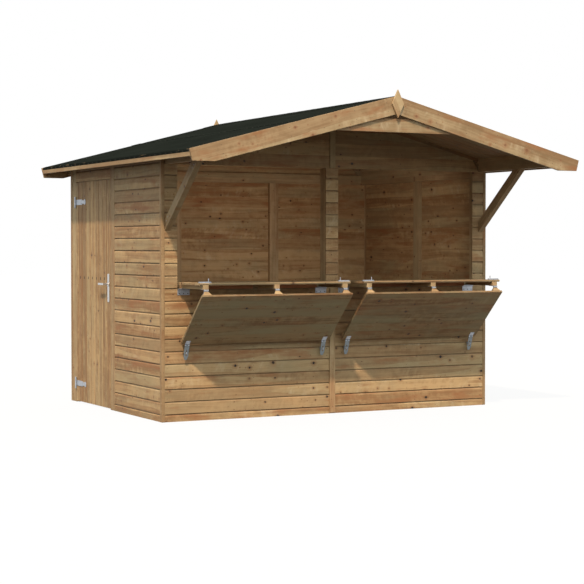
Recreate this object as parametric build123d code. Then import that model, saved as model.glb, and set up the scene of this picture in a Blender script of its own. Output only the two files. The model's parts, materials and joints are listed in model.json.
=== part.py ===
"""Gabled timber market stall with a deep front canopy, two folding counters and a side door.

Millimetres. +Z is up, the serving front faces -Y, +X is to the right of a customer's left-to-right view.
The origin is on the ground, under the middle of the whole stall's outline.
"""
from build123d import *
from math import cos, radians, sin, tan
import os

# ---- overall sizes ---------------------------------------------------------------------------
width = 2980            # over the cladding of the two side walls
depth = 2010            # over the cladding of the front and back walls
wall_height = 1979      # top of the wall panels, underside of the eave beams
roof_pitch = 14.5       # degrees
canopy = 1000           # front wall face to the front of the front bargeboards
rear_overhang = 180     # back wall face to the back of the rear bargeboards
eave_overhang = 200     # side wall face to the outer face of the eave fascia

# ---- timber sections -------------------------------------------------------------------------
cladding = 12           # thickness of the wall boards
stud_depth = 34         # framing, across the wall
stud_width = 45         # framing, along the wall
plate_depth = 63        # wider top rail of the side walls, which carries the eave beams
trim_proud = 3          # the corner trims stand out from the cladding by this much
trim_front = 24         # corner trim, leg seen from the front
trim_side = 35          # corner trim, leg seen from the side
cover_width = 50        # strip over the joint between two wall panels
cover_thickness = 10
cover_bottom = 5        # above the ground
joint_gap = 1           # between two boards or panels that meet end to end
back_panels = (985, 1969)   # left corner to the joints between the three back wall panels
side_panel = 1029       # front corner to the joint between the two right wall panels
roof_board = 15
felt = 3
roof_batten = 28        # frame under the roof boards
fascia = 15
fascia_height = 51      # below the felt
felt_lip = 22           # felt turned down over the fascia
barge_depth = 132       # bargeboard, square to its length
barge_thickness = 18
barge_end_drop = 85     # height of the bargeboard's square end above its level cut
barge_reach = 211       # side wall face to the upper outer corner of the bargeboard
finial_height = 214
finial_width = 92
finial_thickness = 16
finial_above_ridge = 47
collar_height = 102     # tie board behind the front bargeboards
collar_drop = 271       # ridge to the bottom of the collar board
collar_reach = 640      # from the middle to the end of the collar board
beam_width = 45
beam_height = 71.4      # eave beam, at its lower, outer face
beam_inset = 28         # side wall face to the outer face of the eave beam and brace
ridge_beam_height = 100
brace_depth = 70
brace_foot = 1469       # height of the brace's lowest point, on the front wall
brace_angle = 39.8      # degrees above level

# ---- front openings and counters ---------------------------------------------------------------
sill = 1012             # top of the lower front wall
side_strip = 131        # wall beside an opening, from the corner
centre_strip = 112      # wall between the two openings
centre_post_depth = 52  # post behind the studs between the openings
leaf_gap = 5            # counter leaf to the opening's sides
counter_board = 16
counter_batten = 32     # depth of the battens under the boards
counter_batten_width = 44
flap_batten_foot = 72   # flap battens, at the board
flap_batten_face = 36   # flap battens, at their chamfered outer face
batten_inset = 27       # leaf end to the first batten
flap_edge_batten = 44   # width of the batten along the flap's free edge, between the flap and the wall
flap_edge_inset = 6     # that batten to the free edge
hinge_above_sill = 6    # counter hinge line above the lower front wall
flap_slope = 44         # degrees below level, at rest
flap_head_gap = 7       # flap to the top of the opening, closed
flap_end_gap = 8.4      # flap's free edge to the counter's hinge line, across, at rest
hinge_gap = 3           # hinge line to the ends of the boards

# ---- hinges, bolts and hasps -----------------------------------------------------------------------
hinge_offset = 8        # hinge line to the timber faces that the hinge joins
knuckle_radius = 6.5
pin_radius = 3
pin_clearance = 0.15    # round the pin
knuckle_gap = 0.5       # between the ends of two knuckles
plate_thickness = 2.5
butt_length = 100
butt_reach = 43         # hinge line to the far edge of the hinge plate
fold_hinge_length = 36
fold_hinge_reach = 60
bolt_length = 100       # tower bolts on the counters
bolt_plate = 30
bolt_radius = 6
bolt_knob = 28          # height over the barrel
bolt_knob_radius = 3.6
bolt_knob_back = 30     # bolt's middle to its knob
bolt_inset = 24         # counter's front edge to the bolt
hasp_offset = 6         # hasp pin to the face of the flap
hasp_knuckle = 4.5
hasp_width = 38
hasp_plate = 46         # length of the plate on the flap
hasp_length = 118
hasp_shoulder = 92      # hasp pin to where the arm begins to taper
hasp_tip = 19           # width
hasp_past = 1           # flap's free edge to the hasp pin
hasp_thickness = 3
hasp_lean = 16          # degrees from upright, towards the wall, at rest
hasp_inset = 49         # leaf end to the middle of the hasp
slot_width = 12
slot_length = 45
slot_middle = 63        # hasp pin to the middle of the slot
staple_thickness = 5
staple_half = 12        # half the height of the staple's eye
staple_hole = 7         # radius
staple_past = 8         # staple beyond the middle plane of the hasp

# ---- door ----------------------------------------------------------------------------------------
door_post_start = 984   # front wall face to the trim board at the latch side
door_front_post = 96    # width of that trim board
door_rear_post = 124    # door opening to the back corner
door_gap = 5            # at the hinge side and the top
latch_gap = 7
door_bottom = 10
door_top = 1900
ledge_height = 90
ledge_inset = 30        # ledge ends to the door's edges
ledge_middle = 1081
ledge_end = 130         # door's top or bottom to the middle of the nearest ledge
strap_inset = (155, 171)    # door's bottom and top to the middle of the nearest hinge
strap_plate_height = 96
strap_plate_reach = 40
strap_height = 46
strap_length = 235
strap_neck = 44         # middle of the rounded end to the waist
strap_waist = 28
handle_inset = 28       # door's edge to the middle of the handle
handle_width = 40
handle_height = 234
handle_thickness = 3
handle_corner = 12
handle_middle = 1006
lever_middle = 1038
rose_radius = 21
rose_thickness = 5
lever_neck = 8
lever_stand_off = 46    # door face to the middle of the grip
lever_length = 112
lever_thickness = 12
lever_height = 18
lever_rounding = 4.8
lever_clearance = 0.3   # round the lever's neck
lever_end_gap = 0.5     # lever's neck to the door
keyhole_middle = 925
keyhole_radius = 4

# ---- places worked out from the sizes -----------------------------------------------------------
front = -(depth + rear_overhang - canopy) / 2       # outer face of the front cladding
back = front + depth
side = width / 2
slope = tan(radians(roof_pitch))
rise = cos(radians(roof_pitch))
verge_front = front - canopy
verge_back = back + rear_overhang
under_felt = felt / rise                            # depths below the roof's top surface,
under_boards = under_felt + roof_board / rise       # measured upright
under_battens = under_boards + roof_batten / rise
eave = side + eave_overhang
beam_outer = side - beam_inset
beam_inner = beam_outer - beam_width
ridge_height = wall_height + beam_height + under_battens + beam_outer * slope
collar_bottom = ridge_height - collar_drop
frame_face = side - cladding
opening_width = (width - 2 * side_strip - centre_strip) / 2
opening_left = -side + side_strip
back_joints = [-side + place for place in back_panels]
side_joint = front + side_panel
frame_front = front + cladding + stud_depth
frame_back = back - cladding - stud_depth
roof_front = verge_front + barge_thickness
roof_back = verge_back - barge_thickness
post_front = front + door_post_start
latch_edge = post_front + door_front_post
hinge_edge = back - door_rear_post
door_start = latch_edge + latch_gap
door_end = hinge_edge - door_gap
door_pin_y = hinge_edge - door_gap / 2
hinge_height = sill + hinge_above_sill
# Counter and flap together close the opening, and at rest the flap slopes back to the hinge line.
closed_length = wall_height - flap_head_gap - hinge_height
flap_length = (closed_length - flap_end_gap) / (1 + cos(radians(flap_slope)))
counter_reach = closed_length - flap_length
hinge_y = front - hinge_offset
fold_y = hinge_y - counter_reach
flap_end = fold_y - flap_length
hasp_pin_y = flap_end - hasp_past
batten_bottom = hinge_height + hinge_offset
board_bottom = batten_bottom + counter_batten
board_top = board_bottom + counter_board


def staple_centre():
    """Where the middle of a hanging hasp's slot lies, as y and z."""
    turn = radians(180 - flap_slope)
    pin = (hasp_pin_y - fold_y, board_top + hasp_offset - hinge_height)
    y = fold_y + pin[0] * cos(turn) - pin[1] * sin(turn) + slot_middle * sin(radians(hasp_lean))
    z = hinge_height + pin[0] * sin(turn) + pin[1] * cos(turn) - slot_middle * cos(radians(hasp_lean))
    return y, z


staple_place = staple_centre()


def roof_z(x, below=0.0):
    """Height of the roof's top surface over x, less an upright depth below it."""
    return ridge_height - abs(x) * slope - below


def block(x, y, z):
    """A box between two limits along each axis."""
    middle = ((x[0] + x[1]) / 2, (y[0] + y[1]) / 2, (z[0] + z[1]) / 2)
    return Pos(*middle) * Box(abs(x[1] - x[0]), abs(y[1] - y[0]), abs(z[1] - z[0]))


def profile_xz(points, y0, y1):
    """A solid with an outline in X and Z, from y0 to y1."""
    plane = Plane(origin=(0, max(y0, y1), 0), x_dir=(1, 0, 0), z_dir=(0, -1, 0))
    face = plane * make_face(Polyline(*points, close=True))
    return extrude(face, amount=abs(y1 - y0), dir=(0, -1, 0))


def profile_yz(points, x0, x1):
    """A solid with an outline in Y and Z, from x0 to x1."""
    plane = Plane(origin=(min(x0, x1), 0, 0), x_dir=(0, 1, 0), z_dir=(1, 0, 0))
    face = plane * make_face(Polyline(*points, close=True))
    return extrude(face, amount=abs(x1 - x0), dir=(1, 0, 0))


def rod(x0, x1, radius):
    """A round bar along the X axis."""
    return Pos((x0 + x1) / 2, 0, 0) * Rot(0, 90, 0) * Cylinder(radius, abs(x1 - x0))


def rounded(length, height, radius, thickness):
    """A flat plate with rounded corners, standing on the XY plane."""
    return extrude(RectangleRounded(length, height, radius), amount=thickness)


def mirrored(shape):
    """The same piece on the other side of the stall."""
    return mirror(shape, about=Plane.YZ)


def save(name, *shapes):
    """Write one named piece, made of one or more solids."""
    solids = [solid for shape in shapes for solid in shape.solids()]
    whole = solids[0] if len(solids) == 1 else Compound(children=solids)
    export_step(whole, f"parts/{name}.step")


# ---- walls -----------------------------------------------------------------------------------------
def openings():
    """The two front openings, as pairs of x limits."""
    second = opening_left + opening_width + centre_strip
    return (opening_left, opening_left + opening_width), (second, second + opening_width)


def split(shape):
    """Cut a piece that crosses the middle of the stall into two, a joint's gap apart."""
    box = shape.bounding_box()
    half = joint_gap / 2
    gap = block((-half, half), (box.min.Y - 1, box.max.Y + 1), (box.min.Z - 1, box.max.Z + 1))
    return shape - gap


def frame_depth(face, inward):
    """The y limits of the framing behind an end wall's cladding."""
    near = face + inward * cladding
    return tuple(sorted((near, near + inward * stud_depth)))


def front_wall():
    y = (front, front + cladding)
    (a, b), (c, d) = openings()
    end = side - trim_front
    save("front_lower_cladding", split(block((-end, end), y, (0, sill))))
    strips = ((-end, a), (b, c), (d, end))
    save("front_strip_cladding", *[block(strip, y, (sill, wall_height)) for strip in strips])
    frame = frame_depth(front, 1)
    rails = [block((-frame_face, frame_face), frame, (0, stud_width))]
    rails += [block(limits, frame, (sill - stud_width, sill)) for limits in openings()]
    save("front_wall_rails", *rails)
    full = (stud_width, wall_height)
    low = (stud_width, sill - stud_width)
    places = (-frame_face, a - stud_width, b, c - stud_width, d, frame_face - stud_width)
    studs = [block((x, x + stud_width), frame, full) for x in places]
    studs += [block(((x0 + x1 - stud_width) / 2, (x0 + x1 + stud_width) / 2), frame, low)
              for x0, x1 in openings()]
    save("front_wall_studs", *studs)
    save("centre_post", block((b, c), (frame[1], frame[1] + centre_post_depth), (0, wall_height)))


def gable_panel(face, inward):
    """Triangular panel between the eave beams, over an end wall."""
    outline = [(-beam_inner, wall_height), (beam_inner, wall_height),
               (beam_inner, roof_z(beam_inner, under_battens)), (0, roof_z(0, under_battens)),
               (-beam_inner, roof_z(beam_inner, under_battens))]
    return profile_xz(outline, face, face + inward * cladding) - ridge_beam_section(verge_front, verge_back)


def gables():
    save("front_gable_cladding", split(gable_panel(front, 1)))
    save("back_gable_cladding", gable_panel(back, -1))
    x = (-beam_inner, beam_inner)
    z = (wall_height, wall_height + stud_width)
    save("gable_rails", block(x, frame_depth(front, 1), z), block(x, frame_depth(back, -1), z))


def back_wall():
    end = side - trim_front
    save("back_wall_cladding", block((-end, end), (back - cladding, back), (0, wall_height)))
    frame = frame_depth(back, -1)
    x = (-frame_face, frame_face)
    top = (wall_height - stud_width, wall_height)
    save("back_wall_rails", block(x, frame, (0, stud_width)), block(x, frame, top))
    tall = (stud_width, wall_height - stud_width)
    save("back_wall_studs", *[block((x - stud_width, x + stud_width), frame, tall) for x in back_joints])


def side_cladding(y0, y1, z0=0):
    """Boards of the right wall between two places, up to the roof boards."""
    inner = side - cladding
    outline = [(inner, z0), (side, z0), (side, roof_z(side, under_boards)),
               (inner, roof_z(inner, under_boards))]
    return profile_xz(outline, y0, y1)


def side_plate():
    """Top rail of the right wall, which the eave beam rests on."""
    x = (frame_face - plate_depth, frame_face)
    return block(x, (frame_front, frame_back), (wall_height - stud_width, wall_height))


def side_walls():
    left_boards = mirrored(side_cladding(front + trim_side, post_front))
    save("left_wall_cladding", left_boards)
    save("right_wall_cladding", side_cladding(front + trim_side, back - trim_side))
    x = (frame_face - stud_depth, frame_face)
    sole = (0, stud_width)
    rails = [block(x, (frame_front, frame_back), sole), side_plate(), mirrored(side_plate())]
    soles = ((frame_front, latch_edge), (hinge_edge, frame_back))
    rails += [mirrored(block(x, place, sole)) for place in soles]
    save("side_wall_rails", *rails)
    tall = (stud_width, wall_height - stud_width)
    right = ((frame_front, frame_front + stud_width), (side_joint - stud_width, side_joint + stud_width))
    left = ((frame_front, frame_front + stud_width), (latch_edge - stud_width, latch_edge),
            (hinge_edge, frame_back))
    studs = [block(x, place, tall) for place in right]
    studs += [mirrored(block(x, place, tall)) for place in left]
    save("side_wall_studs", *studs)


def door_surround():
    front_board = mirrored(side_cladding(post_front, latch_edge))
    rear_board = mirrored(side_cladding(hinge_edge, back - trim_side))
    save("door_posts", front_board, rear_board)
    save("door_header", mirrored(side_cladding(latch_edge, hinge_edge, door_top + door_gap)))


def corner_trim():
    """L-shaped trim of the front right corner, up to the roof boards."""
    outer = side + trim_proud
    face = front - trim_proud
    z = (0, roof_z(outer, under_boards))
    return block((side - trim_front, outer), (face, front + cladding), z) + block(
        (side - cladding, outer), (face, front + trim_side), z)


def corner_trims():
    right = corner_trim()
    rear = Pos(0, front + back, 0) * mirror(right, about=Plane.XZ)
    save("corner_trims", right, mirrored(right), rear, mirrored(rear))


def cover_strips():
    x = (-cover_width / 2, cover_width / 2)
    y = (front - cover_thickness, front)
    beam_bottom = roof_z(0, under_boards) - ridge_beam_height
    save("front_cover_strips", block(x, y, (cover_bottom, sill)), block(x, y, (wall_height, beam_bottom)))


# ---- roof ------------------------------------------------------------------------------------------
def eave_beam_section(y0, y1):
    """Right eave beam between two places, its top cut to the roof's slope."""
    outline = [(beam_inner, wall_height), (beam_outer, wall_height),
               (beam_outer, roof_z(beam_outer, under_battens)),
               (beam_inner, roof_z(beam_inner, under_battens))]
    return profile_xz(outline, y0, y1)


def ridge_beam_section(y0, y1):
    half = beam_width / 2
    bottom = roof_z(0, under_boards) - ridge_beam_height
    outline = [(-half, bottom), (half, bottom), (half, roof_z(half, under_boards)),
               (0, roof_z(0, under_boards)), (-half, roof_z(half, under_boards))]
    return profile_xz(outline, y0, y1)


def sloping_slab(x0, x1, top, bottom, y0, y1):
    """Right-hand roof layer between two upright depths below the roof's top surface."""
    outline = [(x0, roof_z(x0, top)), (x1, roof_z(x1, top)), (x1, roof_z(x1, bottom)),
               (x0, roof_z(x0, bottom))]
    return profile_xz(outline, y0, y1)


def roof_frame():
    beam = eave_beam_section(roof_front, roof_back)
    save("eave_beams", beam, mirrored(beam))
    save("ridge_beam", ridge_beam_section(roof_front, roof_back))
    batten = sloping_slab(beam_inner, beam_outer, under_boards, under_battens, roof_front, roof_back)
    save("roof_eave_battens", batten, mirrored(batten))
    places = (roof_front, front, back - stud_width, roof_back - stud_width)
    rafters = [sloping_slab(beam_width / 2, beam_inner, under_boards, under_battens, y, y + stud_width)
               for y in places]
    save("roof_rafters", *rafters, *[mirrored(rafter) for rafter in rafters])


def roof_covering():
    inner = eave - fascia
    boards = sloping_slab(0, inner, under_felt, under_boards, roof_front, roof_back)
    save("roof_boards_right", boards)
    save("roof_boards_left", mirrored(boards))
    bottom = roof_z(eave, under_felt) - fascia_height
    outline = [(inner, bottom), (eave, bottom), (eave, roof_z(eave, under_felt)),
               (inner, roof_z(inner, under_felt))]
    board = profile_xz(outline, roof_front, roof_back)
    save("eave_fascias", board, mirrored(board))
    edge = eave + felt
    lip = roof_z(eave, under_felt) - felt_lip
    sheet = [(0, roof_z(0)), (edge, roof_z(edge)), (edge, lip), (eave, lip), (eave, roof_z(eave, under_felt)),
             (0, roof_z(0, under_felt))]
    covering = profile_xz(sheet, roof_front, roof_back)
    save("roof_felt_right", covering)
    save("roof_felt_left", mirrored(covering))


def bargeboard(y0, y1):
    """Right-hand board of a gable's edge, with a square end and a level cut under it."""
    tip = side + barge_reach
    upright = barge_depth / rise
    level = roof_z(tip) - barge_end_drop
    heel = tip - barge_end_drop * slope
    toe = (ridge_height - upright - level) / slope
    inner = joint_gap / 2
    outline = [(inner, roof_z(inner)), (tip, roof_z(tip)), (heel, level), (toe, level),
               (inner, roof_z(inner, upright))]
    return profile_xz(outline, y0, y1)


def finial(y0, y1):
    top = ridge_height + finial_above_ridge
    half = finial_width / 2
    middle = top - finial_height / 2
    return profile_xz([(0, top), (half, middle), (0, top - finial_height), (-half, middle)], y0, y1)


def collar_board(y0, y1):
    """Tie board between the bargeboards, its top ends cut to the roof's slope."""
    top = collar_bottom + collar_height
    shoulder = (ridge_height - under_battens - top) / slope
    end_top = roof_z(collar_reach, under_battens)
    outline = [(-collar_reach, collar_bottom), (collar_reach, collar_bottom), (collar_reach, end_top),
               (shoulder, top), (-shoulder, top), (-collar_reach, end_top)]
    return profile_xz(outline, y0, y1)


def gable_trim():
    finials = []
    collars = []
    for name, face, inward in (("front", verge_front, 1), ("rear", verge_back, -1)):
        inner = face + inward * barge_thickness
        board = bargeboard(face, inner)
        save(f"{name}_bargeboards", board, mirrored(board))
        finials.append(finial(face - inward * finial_thickness, face))
        collars.append(collar_board(inner, inner + inward * barge_thickness))
    save("finials", *finials)
    save("collar_boards", *collars)


def brace():
    """Right-hand brace from the front wall up to the eave beam."""
    lean = radians(brace_angle)
    upright = brace_depth / cos(lean)
    level = brace_depth / sin(lean)
    run = (wall_height - brace_foot) / tan(lean)
    outline = [(front, brace_foot), (front - run, wall_height), (front - run + level, wall_height),
               (front, brace_foot + upright)]
    return profile_yz(outline, beam_inner, beam_outer)


# ---- hinges ----------------------------------------------------------------------------------------
def knuckled(length, middle, radius, pin, fixed, turning):
    """The two sides of a hinge whose pin lies on the X axis.

    fixed and turning are the hinge's plates. The fixed side gets the outer knuckles, and the turning
    side the middle one. With a pin's radius, the pin is part of the fixed side, and the middle knuckle
    is bored to run on it. A small hinge has pin 0: its pin can't be seen, and its knuckles are solid."""
    end = length / 2
    inner = middle / 2
    clear = radius + knuckle_gap
    still = fixed - rod(-inner - knuckle_gap, inner + knuckle_gap, clear)
    still += rod(-end, -inner - knuckle_gap, radius) + rod(inner + knuckle_gap, end, radius)
    moving = turning - rod(-length, -inner, clear) - rod(inner, length, clear)
    moving += rod(-inner, inner, radius)
    if pin:
        still += rod(-end, end, pin)
        moving -= rod(-length, length, pin + pin_clearance)
    return still, moving


def plate(length, reach, towards, offset=hinge_offset):
    """A hinge plate on the timber's face, from the pin towards +Y or -Y."""
    return block((-length / 2, length / 2), (0, towards * reach), (-offset, -offset + plate_thickness))


def wall_hinge(x):
    """Hinge of a counter: its wall side, and its counter side, opened to a right angle."""
    opened = Rot(90, 0, 0) * plate(butt_length, butt_reach, 1)
    sides = knuckled(butt_length, butt_length / 3, knuckle_radius, pin_radius,
                     plate(butt_length, butt_reach, -1), opened)
    place = Plane(origin=(x, hinge_y, hinge_height), x_dir=(1, 0, 0), z_dir=(0, -1, 0))
    return [place * piece for piece in sides]


def fold_hinge(x):
    """Hinge under the ends of a counter batten and a flap batten, with the flap laid flat."""
    on_counter, on_flap = [plate(fold_hinge_length, fold_hinge_reach, towards) for towards in (-1, 1)]
    sides = knuckled(fold_hinge_length, fold_hinge_length / 3, knuckle_radius, 0, on_counter, on_flap)
    place = Plane(origin=(x, fold_y, hinge_height), x_dir=(1, 0, 0), z_dir=(0, 0, -1))
    return [place * piece for piece in sides]


def hasp_arm():
    """The slotted arm of a hasp along -Y from its pin, with a tapered tip."""
    wide = hasp_width / 2
    tip = hasp_tip / 2
    outline = make_face(Polyline((-wide, 0), (-wide, -hasp_shoulder), (-tip, -hasp_length),
                                 (tip, -hasp_length), (wide, -hasp_shoulder), (wide, 0), close=True))
    slot = Pos(0, -slot_middle) * Rot(0, 0, 90) * SlotOverall(slot_length, slot_width)
    return Pos(0, 0, -hasp_thickness / 2) * extrude(outline - slot, amount=hasp_thickness)


def hasp(x):
    """A hasp on the smooth face of a flap that is laid flat: its plate and its arm, hanging."""
    base = plate(hasp_width, hasp_plate, 1, hasp_offset)
    hanging = Rot(flap_slope + hasp_lean - 90, 0, 0) * hasp_arm()
    sides = knuckled(hasp_width, hasp_width / 3, hasp_knuckle, 0, base, hanging)
    return [Pos(x, hasp_pin_y, board_top + hasp_offset) * piece for piece in sides]


def tower_bolt(x, hand):
    """A bolt on the counter's top: plate, barrel and upright knob. hand is +1 where it shoots to +X."""
    base = block((-bolt_length / 2, bolt_length / 2), (-bolt_plate / 2, bolt_plate / 2), (0, plate_thickness))
    barrel = Pos(0, 0, bolt_radius) * rod(-bolt_length / 2, bolt_length / 2, bolt_radius)
    stem = Pos(-hand * bolt_knob_back, 0, bolt_radius + bolt_knob / 2) * Cylinder(bolt_knob_radius, bolt_knob)
    return Pos(x, fold_y + hinge_gap + bolt_inset, board_top) * (base + barrel + stem)


def staple(x):
    """An eye of flat bar on the front wall, which stands through the slot of a hasp."""
    middle_y, middle_z = staple_place
    straight = front - middle_y + staple_past - staple_half
    outline = Pos(straight / 2, 0) * Rectangle(straight, 2 * staple_half)
    outline += Pos(straight, 0) * Circle(staple_half)
    outline -= Pos(straight, 0) * Circle(staple_hole)
    place = Plane(origin=(x, front, middle_z), x_dir=(0, -1, 0), z_dir=(1, 0, 0))
    return place * extrude(outline, amount=staple_thickness / 2, both=True)


# ---- counters --------------------------------------------------------------------------------------
def folded(shape):
    """Turn a flap piece from flat, in line with the counter, to its place at rest."""
    hinge = Pos(0, fold_y, hinge_height)
    return hinge * Rot(180 - flap_slope, 0, 0) * hinge.inverse() * shape


def batten_places(x0, x1):
    """Middles of the three battens of a leaf."""
    inset = batten_inset + counter_batten_width / 2
    return x0 + inset, (x0 + x1) / 2, x1 - inset


def flap_batten(x):
    """Flap batten with chamfered edges, laid flat."""
    foot = flap_batten_foot / 2
    face = flap_batten_face / 2
    outline = [(x - foot, board_bottom), (x + foot, board_bottom), (x + face, batten_bottom),
               (x - face, batten_bottom)]
    return profile_xz(outline, flap_end + flap_edge_inset + flap_edge_batten, fold_y - hinge_gap)


def edge_batten(places):
    """Batten across the flap's free edge, laid flat, which the other battens end against."""
    foot = flap_batten_foot / 2
    start = flap_end + flap_edge_inset
    return block((places[0] - foot, places[-1] + foot), (start, start + flap_edge_batten),
                 (batten_bottom, board_bottom))


def counter(name, x0, x1):
    """One counter with its flap. Returns the pieces that stay on the wall."""
    a = x0 + leaf_gap
    b = x1 - leaf_gap
    y = (fold_y + hinge_gap, hinge_y - hinge_gap)
    z = (board_bottom, board_top)
    places = batten_places(a, b)
    half = counter_batten_width / 2
    save(f"{name}_counter_board", block((a, b), y, z))
    under = (batten_bottom, board_bottom)
    save(f"{name}_counter_battens", *[block((x - half, x + half), y, under) for x in places])
    save(f"{name}_flap_board", folded(block((a, b), (flap_end, fold_y - hinge_gap), z)))
    save(f"{name}_flap_battens", folded(edge_batten(places)), *[folded(flap_batten(x)) for x in places])
    wall_hinges = [wall_hinge(x) for x in (x0 + butt_length / 2, x1 - butt_length / 2)]
    fold_hinges = [fold_hinge(x) for x in places]
    hasps = [hasp(x) for x in (a + hasp_inset, b - hasp_inset)]
    bolts = [tower_bolt(a + bolt_length / 2, -1), tower_bolt(b - bolt_length / 2, 1)]
    save(f"{name}_counter_ironwork", *[moving for still, moving in wall_hinges],
         *[still for still, moving in fold_hinges], *bolts)
    save(f"{name}_flap_ironwork", *[folded(moving) for still, moving in fold_hinges],
         *[folded(still) for still, moving in hasps])
    ends = ("outer", "inner") if name == "left" else ("inner", "outer")
    for place, (still, moving) in zip(ends, hasps):
        save(f"{name}_{place}_hasp", folded(moving))
    staples = [staple(x) for x in (a + hasp_inset, b - hasp_inset)]
    return [still for still, moving in wall_hinges], staples


def counters():
    hinges = []
    staples = []
    for name, limits in zip(("left", "right"), openings()):
        fixed, loops = counter(name, *limits)
        hinges += fixed
        staples += loops
    save("counter_wall_hinges", *hinges)
    save("wall_staples", *staples)


# ---- door ------------------------------------------------------------------------------------------
def strap():
    """The long arm of a door hinge along -Y from its pin, with a waist and a rounded end."""
    half = strap_height / 2
    end = strap_length - half
    neck = end - strap_neck
    waist = strap_waist / 2
    body = make_face(Polyline((half, 0), (half, -neck + half), (waist, -neck), (waist, -end),
                              (-waist, -end), (-waist, -neck), (-half, -neck + half), (-half, 0), close=True))
    return Pos(0, 0, -hinge_offset) * extrude(body + Pos(0, -end) * Circle(half), amount=plate_thickness)


def door_hinge(z):
    """Post side and strap side of a door hinge."""
    sides = knuckled(strap_plate_height, strap_height, knuckle_radius, pin_radius,
                     plate(strap_plate_height, strap_plate_reach, 1), strap())
    place = Plane(origin=(-side - hinge_offset, door_pin_y, z), x_dir=(0, 0, 1), z_dir=(-1, 0, 0))
    return [place * piece for piece in sides]


def on_door(z):
    """A plane on the door's face at the handle, with Z out of the door and Y to the hinges."""
    return Plane(origin=(-side, door_start + handle_inset, z), x_dir=(0, 0, 1), z_dir=(-1, 0, 0))


def door_handle():
    top = handle_thickness + rose_thickness
    plate_blank = rounded(handle_height, handle_width, handle_corner, handle_thickness)
    rose = Pos(0, 0, top / 2) * Cylinder(rose_radius, top)
    spindle_hole = Cylinder(lever_neck + lever_clearance, 4 * top)
    keyhole = Cylinder(keyhole_radius, 4 * top)
    hollow = on_door(lever_middle) * spindle_hole + on_door(keyhole_middle) * keyhole
    save("door_handle_plate", on_door(handle_middle) * plate_blank + on_door(lever_middle) * rose - hollow)
    neck = Pos(0, 0, (lever_stand_off + lever_end_gap) / 2) * Cylinder(lever_neck, lever_stand_off)
    grip = Box(lever_height, lever_length + lever_neck, lever_thickness)
    grip = fillet(grip.edges().filter_by(Axis.Y), lever_rounding)
    grip = Pos(0, (lever_length - lever_neck) / 2, lever_stand_off) * grip
    save("door_lever", on_door(lever_middle) * (neck + grip))


def door():
    x = (-side, -side + cladding)
    save("door_boards", block(x, (door_start, door_end), (door_bottom, door_top)))
    behind = (-side + cladding, -side + cladding + stud_depth)
    y = (door_start + ledge_inset, door_end - ledge_inset)
    half = ledge_height / 2
    middles = (door_bottom + ledge_end, ledge_middle, door_top - ledge_end)
    save("door_ledges", *[block(behind, y, (z - half, z + half)) for z in middles])
    hinges = [door_hinge(z) for z in (door_bottom + strap_inset[0], door_top - strap_inset[1])]
    save("door_hinge_plates", *[still for still, moving in hinges])
    save("door_hinge_straps", *[moving for still, moving in hinges])
    door_handle()


os.makedirs("parts", exist_ok=True)
front_wall()
gables()
back_wall()
side_walls()
door_surround()
corner_trims()
cover_strips()
roof_frame()
roof_covering()
gable_trim()
save("canopy_braces", brace(), mirrored(brace()))
counters()
door()
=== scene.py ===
"""Timber market stall: boards, framing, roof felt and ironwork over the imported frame, and a plain studio."""

import json
import math
import random

import bmesh
import bpy
from bpy.props import FloatProperty, FloatVectorProperty, IntProperty, PointerProperty
from mathutils import Matrix, Vector


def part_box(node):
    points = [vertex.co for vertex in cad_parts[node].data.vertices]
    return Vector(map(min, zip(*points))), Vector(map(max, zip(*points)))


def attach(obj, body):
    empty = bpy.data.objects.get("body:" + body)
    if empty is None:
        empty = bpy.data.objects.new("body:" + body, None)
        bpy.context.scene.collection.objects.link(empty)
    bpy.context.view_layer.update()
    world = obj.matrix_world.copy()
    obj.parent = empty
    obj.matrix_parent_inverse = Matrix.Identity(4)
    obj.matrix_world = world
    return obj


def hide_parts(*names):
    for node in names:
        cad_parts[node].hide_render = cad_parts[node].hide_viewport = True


bl_info = {
    "name": "Timber Market Stall",
    "version": (1, 0, 0),
    "blender": (4, 5, 0),
    "location": "3D View > Sidebar > Stall",
    "description": "Builds a gabled timber market stall with folding counters, piece by piece",
    "category": "Object",
}

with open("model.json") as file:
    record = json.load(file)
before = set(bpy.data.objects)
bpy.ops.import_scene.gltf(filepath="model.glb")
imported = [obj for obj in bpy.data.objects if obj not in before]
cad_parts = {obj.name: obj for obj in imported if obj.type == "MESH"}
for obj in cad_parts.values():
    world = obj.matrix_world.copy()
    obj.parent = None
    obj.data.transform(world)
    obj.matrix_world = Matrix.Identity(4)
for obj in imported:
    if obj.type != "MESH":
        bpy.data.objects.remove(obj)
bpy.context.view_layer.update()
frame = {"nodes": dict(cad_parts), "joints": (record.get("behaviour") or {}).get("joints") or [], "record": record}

X = Vector((1, 0, 0))
Y = Vector((0, 1, 0))
Z = Vector((0, 0, 1))

# ---- joinery that isn't a setting, in metres -----------------------------------------------------
CLEAR = 0.006           # room between a closed door or hatch and its stop
STOP = 0.018            # thickness of a stop rail, width of a stop bead
RAIL = 0.02             # thickness of a counter's back rail
LEAF = 0.08             # a hinge leaf wider than this lies across the counter's back edge
DOOR_EDGE = 0.07        # width of the door's first board
SAME = 1e-4             # places nearer than this count as one
BEND = 0.009            # radius of the felt over the eave
FELT = 0.0022           # thickness of one sheet of felt
BED = 0.003             # depth of the felt in the frame
HANG_TURN = 1.32        # how far the felt turns down at the eave, in radians
HANG = 0.016            # straight felt below that bend
LAP = 0.06              # how far the felt's upper course lies over the lower
FELT_STEP = 0.12        # distance between two rows of the felt's mesh down the slope
NAIL_ROWS = (0.24, 0.68)            # heights of the nails in a wall board, as parts of its cover
GRAIN_SHIFT = (61.0, 23.0, 7.0)     # moves each board's grain along, across and through, by its own number

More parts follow.
